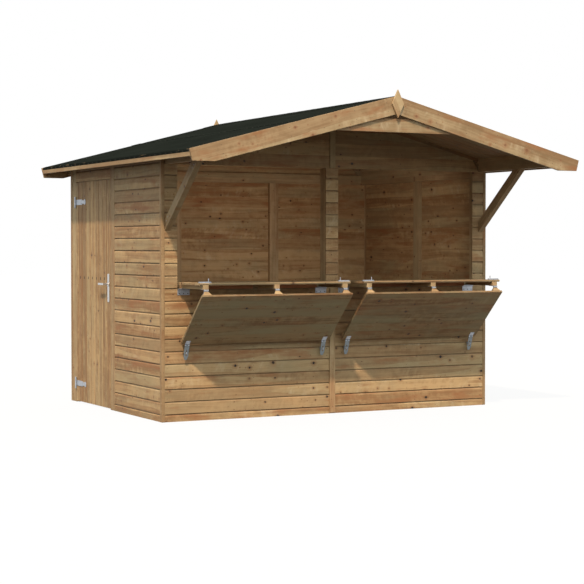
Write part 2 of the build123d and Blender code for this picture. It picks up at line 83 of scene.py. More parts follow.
# ---- studio --------------------------------------------------------------------------------------
CAMERA_PLACE = (-6.2756, -11.8405, 1.3513)
CAMERA_DIP = 1.648      # degrees below level
CAMERA_TURN = -27.725   # degrees from the stall's front
SUN_WAY = (0.46, 0.623, -1.0)
FLOOR = 60.0            # half the floor's side, in metres
FLOOR_GLOW = 0.915      # how bright the floor shows to the camera


# ---- sizes and colours a user would change -------------------------------------------------------
def length(name, default, description, low=0.0):
    return FloatProperty(name=name, description=description, default=default, min=low, unit="LENGTH",
                         precision=4)


def amount(name, default, description, low=0.0):
    return FloatProperty(name=name, description=description, default=default, min=low)


def colour(name, default, description):
    return FloatVectorProperty(name=name, description=description, default=default, min=0.0, max=1.0,
                               size=3, subtype="COLOR")


class BoardSizes(bpy.types.PropertyGroup):
    """Sizes of the boards, their joints and their fixings."""
    lap_cover: length("Wall board cover", 0.0969, "Height that one wall board covers", 0.02)
    first_lap: length("First wall joint", 0.056, "Height of the lowest joint between two wall boards")
    v_cover: length("V-jointed cover", 0.096, "Width that one board of the door or roof covers", 0.02)
    tight_cover: length("Tight cover", 0.0985, "Width that one board of the counters or gables covers", 0.02)
    gap: length("Joint gap", 0.0036, "Open gap between two wall boards")
    chamfer_height: length("Chamfer height", 0.013, "Height of the slope at a wall board's upper edge")
    chamfer_depth: length("Chamfer depth", 0.0065, "Depth of that slope")
    v_joint: length("V joint", 0.0058, "Width and depth of the bevels at a V joint")
    arris: length("Arris", 0.0016, "Softened edges of planed timber")
    nail_head: length("Nail head", 0.0021, "Radius of a wall nail's head")
    clout_head: length("Clout head", 0.0045, "Radius of a felt nail's head")
    screw_head: length("Screw head", 0.0038, "Radius of a hinge screw's head")
    seed: IntProperty(name="Seed", description="Changes the boards' grain and colours", default=7, min=0)


class StallColours(bpy.types.PropertyGroup):
    """Colours of the timber, felt and metal."""
    wall_light: colour("Wall boards, light", (0.455, 0.292, 0.139), "Early growth of the wall boards")
    wall_dark: colour("Wall boards, dark", (0.245, 0.136, 0.057), "Late growth of the wall boards")
    trim_light: colour("Trims, light", (0.440, 0.304, 0.159), "Early growth of the planed trims")
    trim_dark: colour("Trims, dark", (0.266, 0.168, 0.079), "Late growth of the planed trims")
    barge_light: colour("Bargeboards, light", (0.368, 0.256, 0.136), "Early growth of the bargeboards")
    barge_dark: colour("Bargeboards, dark", (0.214, 0.132, 0.061), "Late growth of the bargeboards")
    frame_light: colour("Framing, light", (0.43, 0.285, 0.150), "Early growth of the framing")
    frame_dark: colour("Framing, dark", (0.245, 0.148, 0.070), "Late growth of the framing")
    roof_light: colour("Roof boards, light", (0.235, 0.136, 0.058), "Early growth of the roof boards")
    roof_dark: colour("Roof boards, dark", (0.115, 0.062, 0.025), "Late growth of the roof boards")
    # The back rails' colours, named for heartwood: their red is painted warm bounce light of the deep shade under the
    # counters.
    heart_light: colour("Back rail, light", (0.58, 0.26, 0.13), "Early growth of the counters' back rails")
    heart_dark: colour("Back rail, dark", (0.34, 0.13, 0.055), "Late growth of the counters' back rails")
    knot: colour("Knots", (0.012, 0.0075, 0.005), "Heart of a knot")
    sound_knot: colour("Sound knots", (0.19, 0.085, 0.037), "Knots of the bargeboards")
    halo: colour("Knot halo", (0.275, 0.118, 0.046), "Resin-rich wood round a knot")
    treatment: colour("Treatment", (0.27, 0.225, 0.125), "Green tint of the preservative")
    sapwood: colour("Sapwood", (0.62, 0.50, 0.33), "Pale blotches on the sapwood")
    felt: colour("Felt", (0.0105, 0.0126, 0.0106), "Mineral surface of the roof felt")
    zinc: colour("Zinc", (0.55, 0.585, 0.64), "Galvanised steel")
    # A darker copy of the zinc, for the hasps and the counters' screws.
    worn_zinc: colour("Hasps", (0.25, 0.275, 0.285), "Dull, darker zinc of the hasps")
    satin: colour("Door furniture", (0.66, 0.66, 0.66), "Satin steel of the door's handle")
    nail: colour("Nails", (0.055, 0.043, 0.035), "Weathered nail heads")
    rust: colour("Rust", (0.026, 0.014, 0.009), "Rusted nail heads in the door")


class StudioLight(bpy.types.PropertyGroup):
    """Lamps, surroundings and camera."""
    sun_strength: amount("Sun", 4.1, "Strength of the key light")
    sun_colour: colour("Sun colour", (1.0, 0.83, 0.665), "Colour of the key light")
    sun_angle: FloatProperty(name="Sun angle", description="Softness of the shadows", default=math.radians(2.2),
                             min=0, subtype="ANGLE")
    sky_strength: amount("Sky", 0.98, "Strength of the soft fill")
    front_strength: amount("Front", 0.52, "Extra fill from before the counters")
    sky_colour: colour("Sky colour", (0.93, 1.0, 1.0), "Colour of the soft fill")
    inside_power: amount("Inside", 11.5, "Power of the soft lamp inside the stall")
    inside_colour: colour("Inside colour", (1.0, 0.88, 0.80), "Colour of the lamp inside the stall")
    lens: amount("Lens", 98.32, "Focal length in millimetres", 1.0)


# ---- node trees ----------------------------------------------------------------------------------
class Value:
    """An output of a node. A sum written with values adds the nodes that work it out."""

    def __init__(self, graph, socket):
        self.graph = graph
        self.socket = socket

    def __add__(self, other):
        return self.graph.math("ADD", self, other)

    def __sub__(self, other):
        return self.graph.math("SUBTRACT", self, other)

    def __rsub__(self, other):
        return self.graph.math("SUBTRACT", other, self)

    def __mul__(self, other):
        return self.graph.math("MULTIPLY", self, other)

    def __truediv__(self, other):
        return self.graph.math("DIVIDE", self, other)

    def __neg__(self):
        return self * -1.0

    def __abs__(self):
        return self.graph.math("ABSOLUTE", self)

    def fraction(self):
        return self.graph.math("FRACT", self)

    def at_least(self, other):
        return self.graph.math("MAXIMUM", self, other)

    def at_most(self, other):
        return self.graph.math("MINIMUM", self, other)

    def held(self, middle):
        """The value moved up by middle and held between 0 and 1."""
        return self.graph.math("ADD", self, middle, clamp=True)

    def ramp(self, low, high, start=0.0, end=1.0, kind="LINEAR"):
        """From low..high to start..end, held at the ends."""
        inputs = {"Value": self, "From Min": low, "From Max": high, "To Min": start, "To Max": end}
        return self.graph.out("ShaderNodeMapRange", inputs, "Result", interpolation_type=kind)

    def fade(self, low, high, start=0.0, end=1.0):
        """A ramp that eases in and out."""
        return self.ramp(low, high, start, end, "SMOOTHSTEP")

    __radd__ = __add__
    __rmul__ = __mul__


class Graph:
    """Writes a node tree. Each call adds one node, whose inputs are values or plain numbers."""

    def __init__(self, tree):
        self.tree = tree

    def node(self, kind, inputs=None, **settings):
        node = self.tree.nodes.new(kind)
        for name, value in settings.items():
            setattr(node, name, value)
        for name, value in (inputs or {}).items():
            self.put(node.inputs[name], value)
        return node

    def out(self, kind, inputs=None, socket=0, **settings):
        return Value(self, self.node(kind, inputs, **settings).outputs[socket])

    def put(self, socket, value):
        if isinstance(value, Value):
            self.tree.links.new(value.socket, socket)
        else:
            socket.default_value = value

    def math(self, operation, *values, clamp=False):
        return self.out("ShaderNodeMath", dict(enumerate(values)), operation=operation, use_clamp=clamp)

    def join(self, *parts):
        return self.out("ShaderNodeCombineXYZ", dict(enumerate(parts)))

    def split(self, vector):
        return [Value(self, part) for part in self.node("ShaderNodeSeparateXYZ", {0: vector}).outputs]

    def scale(self, vector, factors):
        return self.out("ShaderNodeVectorMath", {0: vector, 1: factors}, operation="MULTIPLY")

    def noise(self, vector, scale=1.0, detail=2.0, roughness=0.5):
        inputs = {"Vector": vector, "Scale": scale, "Detail": detail, "Roughness": roughness}
        return self.out("ShaderNodeTexNoise", inputs, "Fac")

    def mix(self, factor, a, b):
        return self.out("ShaderNodeMix", {0: factor, 6: a, 7: b}, 2, data_type="RGBA")

    def named(self, name, kind="FLOAT"):
        """An attribute that a geometry tree reads."""
        return self.out("GeometryNodeInputNamedAttribute", {"Name": name}, data_type=kind)

    def store(self, geometry, name, value, kind="FLOAT", domain="POINT"):
        return self.out("GeometryNodeStoreNamedAttribute", {"Geometry": geometry, "Name": name, "Value": value},
                        data_type=kind, domain=domain)

    def chain(self, geometry, *steps):
        """Geometry taken through nodes that are given as (kind, inputs)."""
        for kind, inputs in steps:
            geometry = self.out(f"GeometryNode{kind}", {0: geometry, **inputs})
        return geometry


def new_tree(name, kind, inputs, outputs):
    """An empty node group with named sockets, given as (name, socket type) pairs."""
    tree = bpy.data.node_groups.new(name, kind)
    for way, sockets in (("INPUT", inputs), ("OUTPUT", outputs)):
        for title, socket in sockets:
            tree.interface.new_socket(name=title, in_out=way, socket_type=f"NodeSocket{socket}")
    graph = Graph(tree)
    value = {socket.name: Value(graph, socket) for socket in graph.node("NodeGroupInput").outputs}
    return graph, value, graph.node("NodeGroupOutput").inputs


def linked(name, data):
    """A new object in the scene."""
    thing = bpy.data.objects.new(name, data)
    bpy.context.scene.collection.objects.link(thing)
    return thing


def evaluated(tree, values, points=None):
    """Run a geometry tree with its inputs set by name, and return the plain mesh it makes."""
    holder = linked("holder", points or bpy.data.meshes.new("holder"))
    modifier = holder.modifiers.new(tree.name, "NODES")
    modifier.node_group = tree
    for item in tree.interface.items_tree:
        if item.item_type == "SOCKET" and item.in_out == "INPUT" and item.name in values:
            modifier[item.identifier] = values[item.name]
    holder.update_tag()
    depsgraph = bpy.context.evaluated_depsgraph_get()
    mesh = bpy.data.meshes.new_from_object(holder.evaluated_get(depsgraph), depsgraph=depsgraph)
    holder.modifiers.remove(modifier)
    bpy.data.objects.remove(holder)
    return mesh


# ---- materials -----------------------------------------------------------------------------------
PINE_COLOURS = ("Light", "Dark", "Knot", "Halo", "Treatment", "Sapwood")
PINE_NUMBERS = ("Knots", "Knot Size", "Tint", "Contrast", "Figure", "Joints")


def pine_tree():
    """Sawn pine. Grain holds metres along, across and through a board, Board is its own number, Depth is how far a
    place lies behind the board's face and sets the painted shade in the joints, and Pith is how far it lies on the
    heartwood's side of the middle."""
    inputs = [("Grain", "Vector")] + [(title, "Color") for title in PINE_COLOURS]
    inputs += [(title, "Float") for title in ("Board", "Depth", "Pith") + PINE_NUMBERS]
    graph, value, out = new_tree("Pine", "ShaderNodeTree", inputs, [("Color", "Color"), ("Height", "Float"),
                                                                    ("Roughness", "Float")])
    along, across, through = graph.split(value["Grain"])
    figure = value["Figure"]
    lot = (value["Board"] * 37.0).fraction()
    other = (value["Board"] * 113.0).fraction()

    def noise(run, width, depth, detail=2.0, roughness=0.55, line=across):
        """Noise whose patches are 1/run long and 1/width wide, read from -0.5 to 0.5."""
        return graph.noise(graph.join(along * run, line * width, depth), 1.0, detail, roughness) - 0.5

    def field(run, width, depth, detail=2.0, roughness=0.55):
        return noise(run, width, through + depth, detail, roughness)

    # Knots run through the board, so they are cells in the plane of its face.
    face = graph.join(along, across, 0.0)
    wobble = (graph.noise(face, 120.0, 3.0, 0.6) - 0.5) * 0.0075
    swerve = 0.0
    marks = []
    for cell, share, small, large in ((0.115, 1.0, 0.0046, 0.0104), (0.05, 0.34, 0.0014, 0.0034)):
        cells = graph.node("ShaderNodeTexVoronoi", {"Vector": face, "Scale": 1 / cell, "Randomness": 0.95},
                           voronoi_dimensions="2D").outputs
        chance, size, dark = graph.split(Value(graph, cells["Color"]))
        ahead, centre, _ = graph.split(Value(graph, cells["Position"]))
        distance = Value(graph, cells["Distance"]) * cell + wobble
        radius = (size * size).ramp(0.0, 1.0, small, large) * value["Knot Size"]
        present = graph.math("LESS_THAN", chance, value["Knots"] * share)
        core = (1.0 - distance / radius).fade(0.0, 0.24) * present * dark.ramp(0.0, 0.7, 0.5, 1.0)
        ring = (distance / (radius * 3.8)).fade(1.0, 0.2) * present
        # A darker streak runs from the knot along the grain.
        aside = abs(across - centre + wobble * 0.6)
        streak = ((abs(along - ahead) * 0.3 + aside) / (radius * 1.5)).fade(1.0, 0.1, 0.0, 0.5)
        marks.append((core.at_least(streak * dark * present), ring))
        swerve = (across - centre) * (ring * 0.8) + swerve
    knot, halo = (first.at_least(second) for first, second in zip(*marks))
    # Growth lines flow round each knot, and wander along the board.
    line = across - swerve + field(0.9, 3.0, 1.0) * 0.085
    broad = noise(0.5, 30.0, through * 26.0, 3.0, 0.6, line)
    fine = noise(2.5, 230.0, through * 200.0, 2.0, 0.55, line)
    saw = noise(60.0, 6.0, through)
    # Heartwood is redder than sapwood, and the line between them runs along the board.
    heart = noise(0.55, 9.0, through * 5.0 + lot * 9.0, 1.0, 0.4, line) + value["Pith"] * 5.0
    edge = abs(heart).fade(0.0, 0.035, 0.5, 0.0)
    heart = heart.fade(-0.03, 0.02)
    # Wavy growth shows as short marks across the grain, in patches.
    lean = along + across * other.ramp(0.0, 1.0, -0.5, 0.5)
    waves = graph.noise(graph.join(lean * 25.0, across * 13.0, lot), 1.0, 3.0, 0.62) - 0.5
    waves = waves * field(2.0, 4.0, 9.0).fade(-0.03, 0.12)
    tone = (waves * 2.6 + edge * 0.7) * figure
    for part, weight in ((broad, 3.0), (fine, 1.5), (field(9.0, 17.0, 2.0, 3.0, 0.6), 1.9),
                         (field(3.0, 9.0, 4.0), 1.2), (saw, 0.4), (value["Board"] - 0.5, 0.85), (heart - 0.5, 0.35)):
        tone = tone + part * weight
    wood = graph.mix((tone * value["Contrast"]).held(0.42), value["Light"], value["Dark"])
    # Sapwood has pale blotches across it.
    pale = graph.noise(graph.join(lean * 19.0, across * 8.0, other), 1.0, 3.0, 0.6)
    pale = pale.fade(0.46, 0.82) * (1.0 - heart) * field(1.6, 5.0, 23.0).fade(-0.1, 0.12, 0.1, 0.45)
    wood = graph.mix(pale * figure, wood, value["Sapwood"])
    # The preservative takes unevenly, and differs from board to board.
    patch = graph.noise(graph.join(along * 1.7, across * 4.0, lot), 1.0, 3.0, 0.65)
    wood = graph.mix((patch + lot * 0.22).fade(0.45, 0.85) * value["Tint"], wood, value["Treatment"])
    blush = (field(3.0, 13.0, 5.0, 3.0, 0.62) + (other - 0.5) * 0.16).fade(0.0, 0.26, 0.0, 0.72) + heart * 0.2
    wood = graph.mix((halo * 0.5).at_least(blush * figure), wood, value["Halo"])
    stain = field(5.0, 60.0, 13.0, 3.0, 0.7).fade(0.15, 0.3, 0.0, 0.6) * field(1.3, 4.0, 17.0).ramp(0.0, 0.12)
    # Painted shade: deeper in a joint's recess the colour darkens towards the knots' colour, as if shade fell there;
    # knots and stains are the wood's own.
    joint = value["Depth"].ramp(0.0024, 0.0062, 0.0, value["Joints"])
    graph.put(out["Color"], graph.mix(knot.at_least(stain * figure).at_least(joint), wood, value["Knot"]))
    graph.put(out["Height"], fine * 0.5 + broad * 0.25 + saw * 0.3 - knot * 0.6)
    graph.put(out["Roughness"], (fine + knot).ramp(-0.2, 0.7, 0.72, 0.5))
    return graph.tree


def shaded(name, factor=1.0):
    """A colour of the palette, lightened or darkened, as a node takes it."""
    return (*(factor * part for part in getattr(bpy.context.scene.stall_colours, name)), 1)


def new_material(name):
    material = bpy.data.materials.new(name)
    material.use_nodes = True
    return material, Graph(material.node_tree), material.node_tree.nodes["Principled BSDF"].inputs


def bump(graph, shader, height, distance, strength):
    inputs = {"Height": height, "Distance": distance, "Strength": strength}
    graph.put(shader["Normal"], graph.out("ShaderNodeBump", inputs))


def pine(name, timber, knots=0.26, knot_size=1.0, tint=0.5, contrast=0.75, relief=0.5, figure=1.0, joints=0.4,
         knot="knot", shade=1.0):
    """A pine finish. Its boards carry the attributes grain, board, depth and pith. joints sets how dark the painted
    shade in the joints' recesses is; the last argument darkens both timber colours, as painted shade for faces that
    stand in shade.
    """
    material, graph, shader = new_material(name)
    group = graph.node("ShaderNodeGroup", node_tree=bpy.data.node_groups.get("Pine") or pine_tree())
    for title, socket in (("Grain", "Vector"), ("Board", "Fac"), ("Depth", "Fac"), ("Pith", "Fac")):
        attribute = graph.out("ShaderNodeAttribute", None, socket, attribute_name=title.lower())
        graph.put(group.inputs[title], attribute)
    colours = (shaded(f"{timber}_light", shade), shaded(f"{timber}_dark", shade), shaded(knot), shaded("halo"),
               shaded("treatment"), shaded("sapwood"))
    numbers = (knots, knot_size, tint, contrast, figure, joints)
    for title, value in zip(PINE_COLOURS + PINE_NUMBERS, colours + numbers):
        graph.put(group.inputs[title], value)
    graph.put(shader["Base Color"], Value(graph, group.outputs["Color"]))
    graph.put(shader["Roughness"], Value(graph, group.outputs["Roughness"]))
    graph.put(shader["Specular IOR Level"], 0.3)
    bump(graph, shader, Value(graph, group.outputs["Height"]), 0.0009, relief)
    return material


def galvanised(name, metal, roughness=0.42, metallic=0.75):
    """Zinc-coated steel: dull, with faint crystals and darker worn patches."""
    material, graph, shader = new_material(name)
    place = graph.out("ShaderNodeTexCoord", None, "Object")
    crystals = graph.out("ShaderNodeTexVoronoi", {"Vector": place, "Scale": 160.0}, "Color")
    wear = graph.noise(place, 45.0, 4.0, 0.65)
    tone = ((graph.split(crystals)[0] - 0.5) * 0.22 + (wear - 0.5) * 0.8).held(0.45)
    graph.put(shader["Base Color"], graph.mix(tone, shaded(metal, 0.55), shaded(metal)))
    graph.put(shader["Roughness"], tone.ramp(0.0, 1.0, roughness + 0.16, roughness - 0.08))
    graph.put(shader["Metallic"], metallic)
    bump(graph, shader, graph.noise(place, 900.0, 2.0), 0.0002, 0.35)
    return material


def satin_steel(name, metal):
    """Brushed door furniture, with its lines along the plate."""
    material, graph, shader = new_material(name)
    place = graph.out("ShaderNodeTexCoord", None, "Object")
    lines = graph.noise(graph.scale(place, (900.0, 900.0, 40.0)), 1.0, 2.0)
    smear = graph.noise(place, 30.0, 3.0)
    tone = graph.math("ADD", (lines - 0.5) * 0.5, smear, clamp=True)
    graph.put(shader["Base Color"], graph.mix(tone, shaded(metal, 0.72), shaded(metal)))
    graph.put(shader["Roughness"], smear.ramp(0.3, 0.7, 0.24, 0.4))
    graph.put(shader["Metallic"], 1.0)
    bump(graph, shader, lines, 0.0001, 0.3)
    return material


def mineral_felt(name, felt):
    """Roof felt: bitumen under a fine mineral grit, a little paler where it has weathered."""
    material, graph, shader = new_material(name)
    place = graph.out("ShaderNodeTexCoord", None, "Object")
    grit = graph.out("ShaderNodeTexVoronoi", {"Vector": place, "Scale": 650.0}, "Color")
    speck = graph.split(grit)[0]
    streak = graph.noise(graph.scale(place, (9.0, 0.8, 9.0)), 1.0, 4.0, 0.6)
    patch = graph.noise(place, 2.2, 3.0, 0.6)
    tone = ((speck - 0.5) * 0.55 + (streak - 0.5) * 0.9 + (patch - 0.5) * 0.6).held(0.5)
    graph.put(shader["Base Color"], graph.mix(tone, shaded(felt, 0.62), shaded(felt, 1.5)))
    graph.put(shader["Roughness"], speck.ramp(0.0, 1.0, 0.8, 0.95))
    graph.put(shader["Specular IOR Level"], 0.0)
    bump(graph, shader, speck, 0.0006, 0.6)
    return material


# Every pine finish paints shade into its boards' joint recesses, as dark as joints sets (0.4 unless given).
FINISHES = {
    "wall_boards": (pine, "wall", dict(knots=0.27, knot_size=1.3)),
    # The door's V joints carry the strongest painted shade.
    "door_boards": (pine, "wall", dict(knots=0.16, knot_size=1.3, tint=0.35, contrast=1.0, figure=0.8, joints=0.95)),
    # Painted shade: the flaps take the wall boards' colours darkened to 0.66, for faces that stand in shade.
    "counter_boards": (pine, "wall", dict(knot_size=1.4, tint=0.85, contrast=1.5, relief=0.35, figure=0.65,
                                          shade=0.66)),
    # The back rails' red finish is painted bounce light of the deep shade under the counters.
    "red_pine": (pine, "heart", dict(knots=0.1, tint=0.0, figure=0.5)),
    "planed_trim": (pine, "trim", dict(knots=0.12, tint=0.3, relief=0.4, figure=0.7)),
    "barge_boards": (pine, "barge", dict(knots=0.4, knot_size=1.4, tint=0.1, relief=0.4, knot="sound_knot")),
    "framing": (pine, "frame", dict(knots=0.16, tint=0.6, relief=0.6, figure=0.4)),
    "roof_boards": (pine, "roof", dict(tint=0.3, contrast=0.6, figure=0.6)),
    "roof_felt": (mineral_felt, "felt", {}),
    "zinc_steel": (galvanised, "zinc", {}),
    "worn_zinc": (galvanised, "worn_zinc", dict(roughness=0.5)),
    "dull_nails": (galvanised, "nail", dict(roughness=0.6, metallic=0.3)),
    "rusted_nails": (galvanised, "rust", dict(roughness=0.7, metallic=0.0)),
    "satin_steel": (satin_steel, "satin", {}),
}


def finish(name):
    """The material of that name, made when it is first asked for."""
    title = f"{name}_finish"
    make, colours, settings = FINISHES[name]
    return bpy.data.materials.get(title) or make(title, colours, **settings)


# ---- pieces --------------------------------------------------------------------------------------
def connected(mesh):
    """The vertices of a bmesh in groups that hang together."""
    left = set(mesh.verts)
    groups = []
    for start in mesh.verts:
        if start not in left:
            continue
        left.discard(start)
        group = [start]
        for vert in group:
            for edge in vert.link_edges:
                other = edge.other_vert(vert)
                if other in left:
                    left.discard(other)
                    group.append(other)
        groups.append(group)
    return groups


def node_copy(node):
    """A bmesh of a CAD node with its loose triangles merged."""
    shape = bmesh.new()
    shape.from_mesh(frame["nodes"][node].data)
    bmesh.ops.remove_doubles(shape, verts=shape.verts, dist=1e-5)
    return shape


def islands(node):
    """The separate solids of a CAD node, each as the list of its corner points."""
    shape = node_copy(node)
    groups = [[vert.co.copy() for vert in group] for group in connected(shape)]
    shape.free()
    return sorted(groups, key=lambda group: tuple(round(part, 4) for part in limits(group)[0]))


def limits(points):
    low, high = (Vector([pick(point[axis] for point in points) for axis in range(3)]) for pick in (min, max))
    return low, high


def boxes(node):
    return [limits(solid) for solid in islands(node)]


def outer(box, axis):
    """The place of a box's outer face on an axis, and the way out there: 1 or -1."""
    low, high = box
    return (low[axis], -1) if low[axis] < 0 else (high[axis], 1)


def axes(along, across, origin=Vector()):
    """A matrix that lays a board's own axes (along, across, outwards) in the stall."""
    turn = Matrix((along, across, along.cross(across))).transposed().to_4x4()
    return Matrix.Translation(origin) @ turn


LEFT = axes(-Y, Z)
RIGHT = axes(Y, Z)
FRONT = axes(X, Z)
BACK = axes(-X, Z)


def settle(name, meshes, body, slot, *nodes):
    """One finished piece out of meshes, with its body and the CAD nodes that it stands for. slot is not used."""
    pieces = [linked(name, mesh) for mesh in meshes]
    if len(pieces) > 1:
        with bpy.context.temp_override(active_object=pieces[0], selected_editable_objects=pieces):
            bpy.ops.object.join()
    piece = pieces[0]
    piece.name = piece.data.name = name
    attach(piece, body)
    if nodes:
        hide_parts(*nodes)
    return piece


def body_of(node):
    return next(body for body, nodes in frame["record"]["behaviour"]["bodies"].items() if node in nodes)


BOARD_RUN = ("Start", "End", "Bottom", "Top", "Thickness", "Peak", "Fall", "First Edge", "Cover")
BOARD_EDGE = ("Gap", "Lower Bevel", "Upper Height", "Upper Depth", "Recess", "Tongue", "Unevenness")


def boarding_tree():
    """A row of boards along X, stacked along Y, with their faces towards Z."""
    inputs = [(title, "Float") for title in BOARD_RUN + BOARD_EDGE] + [("Seed", "Int"), ("Material", "Material")]
    graph, value, out = new_tree("Boarding", "GeometryNodeTree", inputs, [("Geometry", "Geometry")])
    cover, gap, lower = value["Cover"], value["Gap"], value["Lower Bevel"]
    back = -value["Thickness"]
    lap = value["Thickness"] * -0.62
    foot = value["Tongue"] + 0.0008
    groove = lap + 0.0002
    top = cover + value["Tongue"]
    shoulder = cover - value["Recess"]
    outline = ((gap, groove), (foot, groove), (foot, back), (top, back), (top, lap), (shoulder, lap),
               (shoulder, -value["Upper Depth"]), (cover - value["Upper Height"], 0.0), (gap + lower, 0.0),
               (gap, -lower))
    corner = graph.node("GeometryNodeIndexSwitch", data_type="VECTOR")
    for _ in outline[2:]:
        corner.index_switch_items.new()
    corners = [graph.out("GeometryNodeInputIndex")] + [graph.join(-up, -outwards, 0.0) for up, outwards in outline]
    for socket, corner_place in zip(corner.inputs, corners):
        graph.put(socket, corner_place)
    profile = graph.chain(graph.out("GeometryNodeCurvePrimitiveLine"), ("ResampleCurve", {"Count": len(outline)}),
                          ("SetPosition", {"Position": Value(graph, corner.outputs[0])}),
                          ("SetSplineCyclic", {"Cyclic": True}))
    ends = {title: graph.join(value[title], 0.0, 0.0) for title in ("Start", "End")}
    board = graph.chain(graph.out("GeometryNodeCurvePrimitiveLine", ends),
                        ("CurveToMesh", {"Profile Curve": profile, "Fill Caps": True}))
    rows = graph.math("CEIL", (value["Top"] - value["First Edge"]) / cover)
    places = graph.out("GeometryNodeMeshLine", {"Count": rows, "Offset": graph.join(0.0, cover, 0.0),
                                                "Start Location": graph.join(0.0, value["First Edge"], 0.0)})
    own = graph.out("FunctionNodeRandomValue", {"Seed": value["Seed"]}, 1, data_type="FLOAT")
    boards = graph.chain(places, ("InstanceOnPoints", {"Instance": board}))
    solid = graph.chain(graph.store(boards, "board", own, domain="INSTANCE"), ("RealizeInstances", {}))
    # Each board is cut at the panel's edges and at a gable's slope, and lies a little unevenly.
    own = graph.named("board")
    along, across, outwards = graph.split(graph.out("GeometryNodeInputPosition"))
    across = across.at_least(value["Bottom"]).at_most(value["Top"])
    reach = (value["Peak"] - across) / value["Fall"].at_least(0.0001)
    along = along.at_most(reach).at_least(-reach)
    sink = (own * 91.0).fraction() * value["Unevenness"]
    solid = graph.chain(solid, ("SetPosition", {"Position": graph.join(along, across, outwards - sink)}))
    grain = graph.join(along + own * GRAIN_SHIFT[0], across + own * GRAIN_SHIFT[1], outwards)
    solid = graph.store(solid, "grain", grain, "FLOAT_VECTOR")
    # The depth behind the face, kept at 0 on the board's back, feeds the painted shade that darkens the joints.
    shown = graph.math("GREATER_THAN", outwards, back + 0.0005)
    solid = graph.store(solid, "depth", -outwards * shown)
    graph.put(out["Geometry"], graph.chain(solid, ("MergeByDistance", {"Distance": 0.00001}),
                                           ("SetShadeSmooth", {"Shade Smooth": False}),
                                           ("SetMaterial", {"Material": value["Material"]})))
    return graph.tree


def boards(wall, face, start, end, bottom, top, thickness, seed, joint="tight", material="framing", first=None,
           peak=0.0, fall=0.0):
    """One panel of boards, as a mesh. wall gives its axes, and face is how far out its face lies. joint is 'lap', 'v'
    or 'tight'. first is the height of one joint, and the boards end at peak where they have a fall."""
    sizes = bpy.context.scene.stall_sizes
    cover = getattr(sizes, f"{joint}_cover")
    first = bottom if first is None else first
    first -= math.ceil((first - bottom) / cover - 1e-6) * cover
    values = dict(zip(BOARD_RUN, (start, end, bottom, top, thickness, peak if fall else 100.0, fall, first, cover)))
    bevel = sizes.v_joint
    values.update(zip(BOARD_EDGE, {
        "lap": (sizes.gap, 0.0009, sizes.chamfer_height, sizes.chamfer_depth, 0.002, 0.005, 0.0007),
        "v": (0.0016, bevel, bevel, bevel, 0.0003, 0.005, 0.0003),
        "tight": (0.0009, 0.0005, 0.0005, 0.0005, 0.0002, 0.004, 0.0002),
    }[joint]))
    values.update({"Seed": sizes.seed + seed, "Material": finish(material)})
    mesh = evaluated(bpy.data.node_groups.get("Boarding") or boarding_tree(), values)
    mesh.transform(wall @ Matrix.Translation((0, 0, face)))
    return mesh


def laid(node, wall, joint="lap", material="wall_boards", seed=0, peak=0.0, fall=0.0, first=None, short=0.0):
    """The meshes of the boards that stand for each solid of a node. short leaves a gap at their start."""
    if joint == "lap" and first is None:
        first = bpy.context.scene.stall_sizes.first_lap
    meshes = []
    for number, points in enumerate(islands(node)):
        low, high = limits([wall.inverted() @ point for point in points])
        meshes.append(boards(wall, high.z, low.x + short, high.x, low.y, high.y, high.z - low.z, seed + number,
                             joint, material, first, peak, fall))
    return meshes


def span(edge):
    return edge.verts[1].co - edge.verts[0].co


def forward(way):
    """A direction, or its opposite where its largest part is negative."""
    return -way if max(way, key=abs) < 0 else way


def dressed(node, slot="framing", material="framing", pith=False):
    """Planed timbers in the shape of a CAD node: softened edges, and grain along each one. With pith, the upper half
    of each timber is heartwood."""
    chance = random.Random(node)
    shape = node_copy(node)
    bmesh.ops.dissolve_limit(shape, angle_limit=math.radians(0.5), verts=shape.verts, edges=shape.edges)
    layers = shape.verts.layers
    grain, board, side = layers.float_vector.new("grain"), layers.float.new("board"), layers.float.new("pith")
    mark = layers.int.new("timber")
    lays = []
    for number, group in enumerate(connected(shape)):
        # Edges in their own order and one sense for each direction give the same grain each run.
        edges = list(dict.fromkeys(edge for vert in group for edge in vert.link_edges))
        along = forward(span(max(edges, key=lambda edge: edge.calc_length())).normalized())
        across = span(max(edges, key=lambda edge: span(edge).cross(along).length))
        across = forward((across - along * across.dot(along)).normalized())
        across = -across if across.z < -SAME else across
        centre = sum((vert.co.dot(across) for vert in group)) / len(group)
        lays.append((along, across, along.cross(across), chance.random(), centre))
        for vert in group:
            vert[mark] = number
    sharp = [edge for edge in shape.edges if edge.calc_face_angle(0) > math.radians(20)]
    bmesh.ops.bevel(shape, geom=sharp, offset=bpy.context.scene.stall_sizes.arris, segments=2, profile=0.5,
                    affect="EDGES", clamp_overlap=True)
    for group in connected(shape):
        along, across, out, own, centre = lays[group[0][mark]]
        for vert in group:
            vert[grain] = [vert.co.dot(way) + own * shift for way, shift in zip((along, across, out), GRAIN_SHIFT)]
            vert[board] = own
            vert[side] = vert.co.dot(across) - centre if pith else 0.0
    mesh = bpy.data.meshes.new(node)
    shape.to_mesh(mesh)
    shape.free()
    mesh.attributes.remove(mesh.attributes["timber"])
    mesh.materials.append(finish(material))
    return settle(f"{node}_timber", [mesh], body_of(node), slot, node)


# Heads of unit radius: (radius, height) pairs from the foot up, the number of sides, and a cross recess's lobes.
HEADS = {
    "nail": (((1.0, -0.3), (1.0, 0.06), (0.8, 0.2), (0.3, 0.26)), 10, 0),
    "clout": (((1.0, -0.2), (1.0, 0.16), (0.86, 0.26), (0.3, 0.3)), 12, 0),
    "screw": (((1.0, -0.2), (0.95, 0.2), (0.7, 0.42), (0.34, 0.46), (0.24, 0.05)), 16, 4),
    "mark": (((1.0, -0.02), (0.97, 0.03)), 12, 0),
    "bolt": (((1.0, -0.2), (0.97, 0.18), (0.82, 0.42), (0.5, 0.58), (0.18, 0.62)), 16, 0),
}


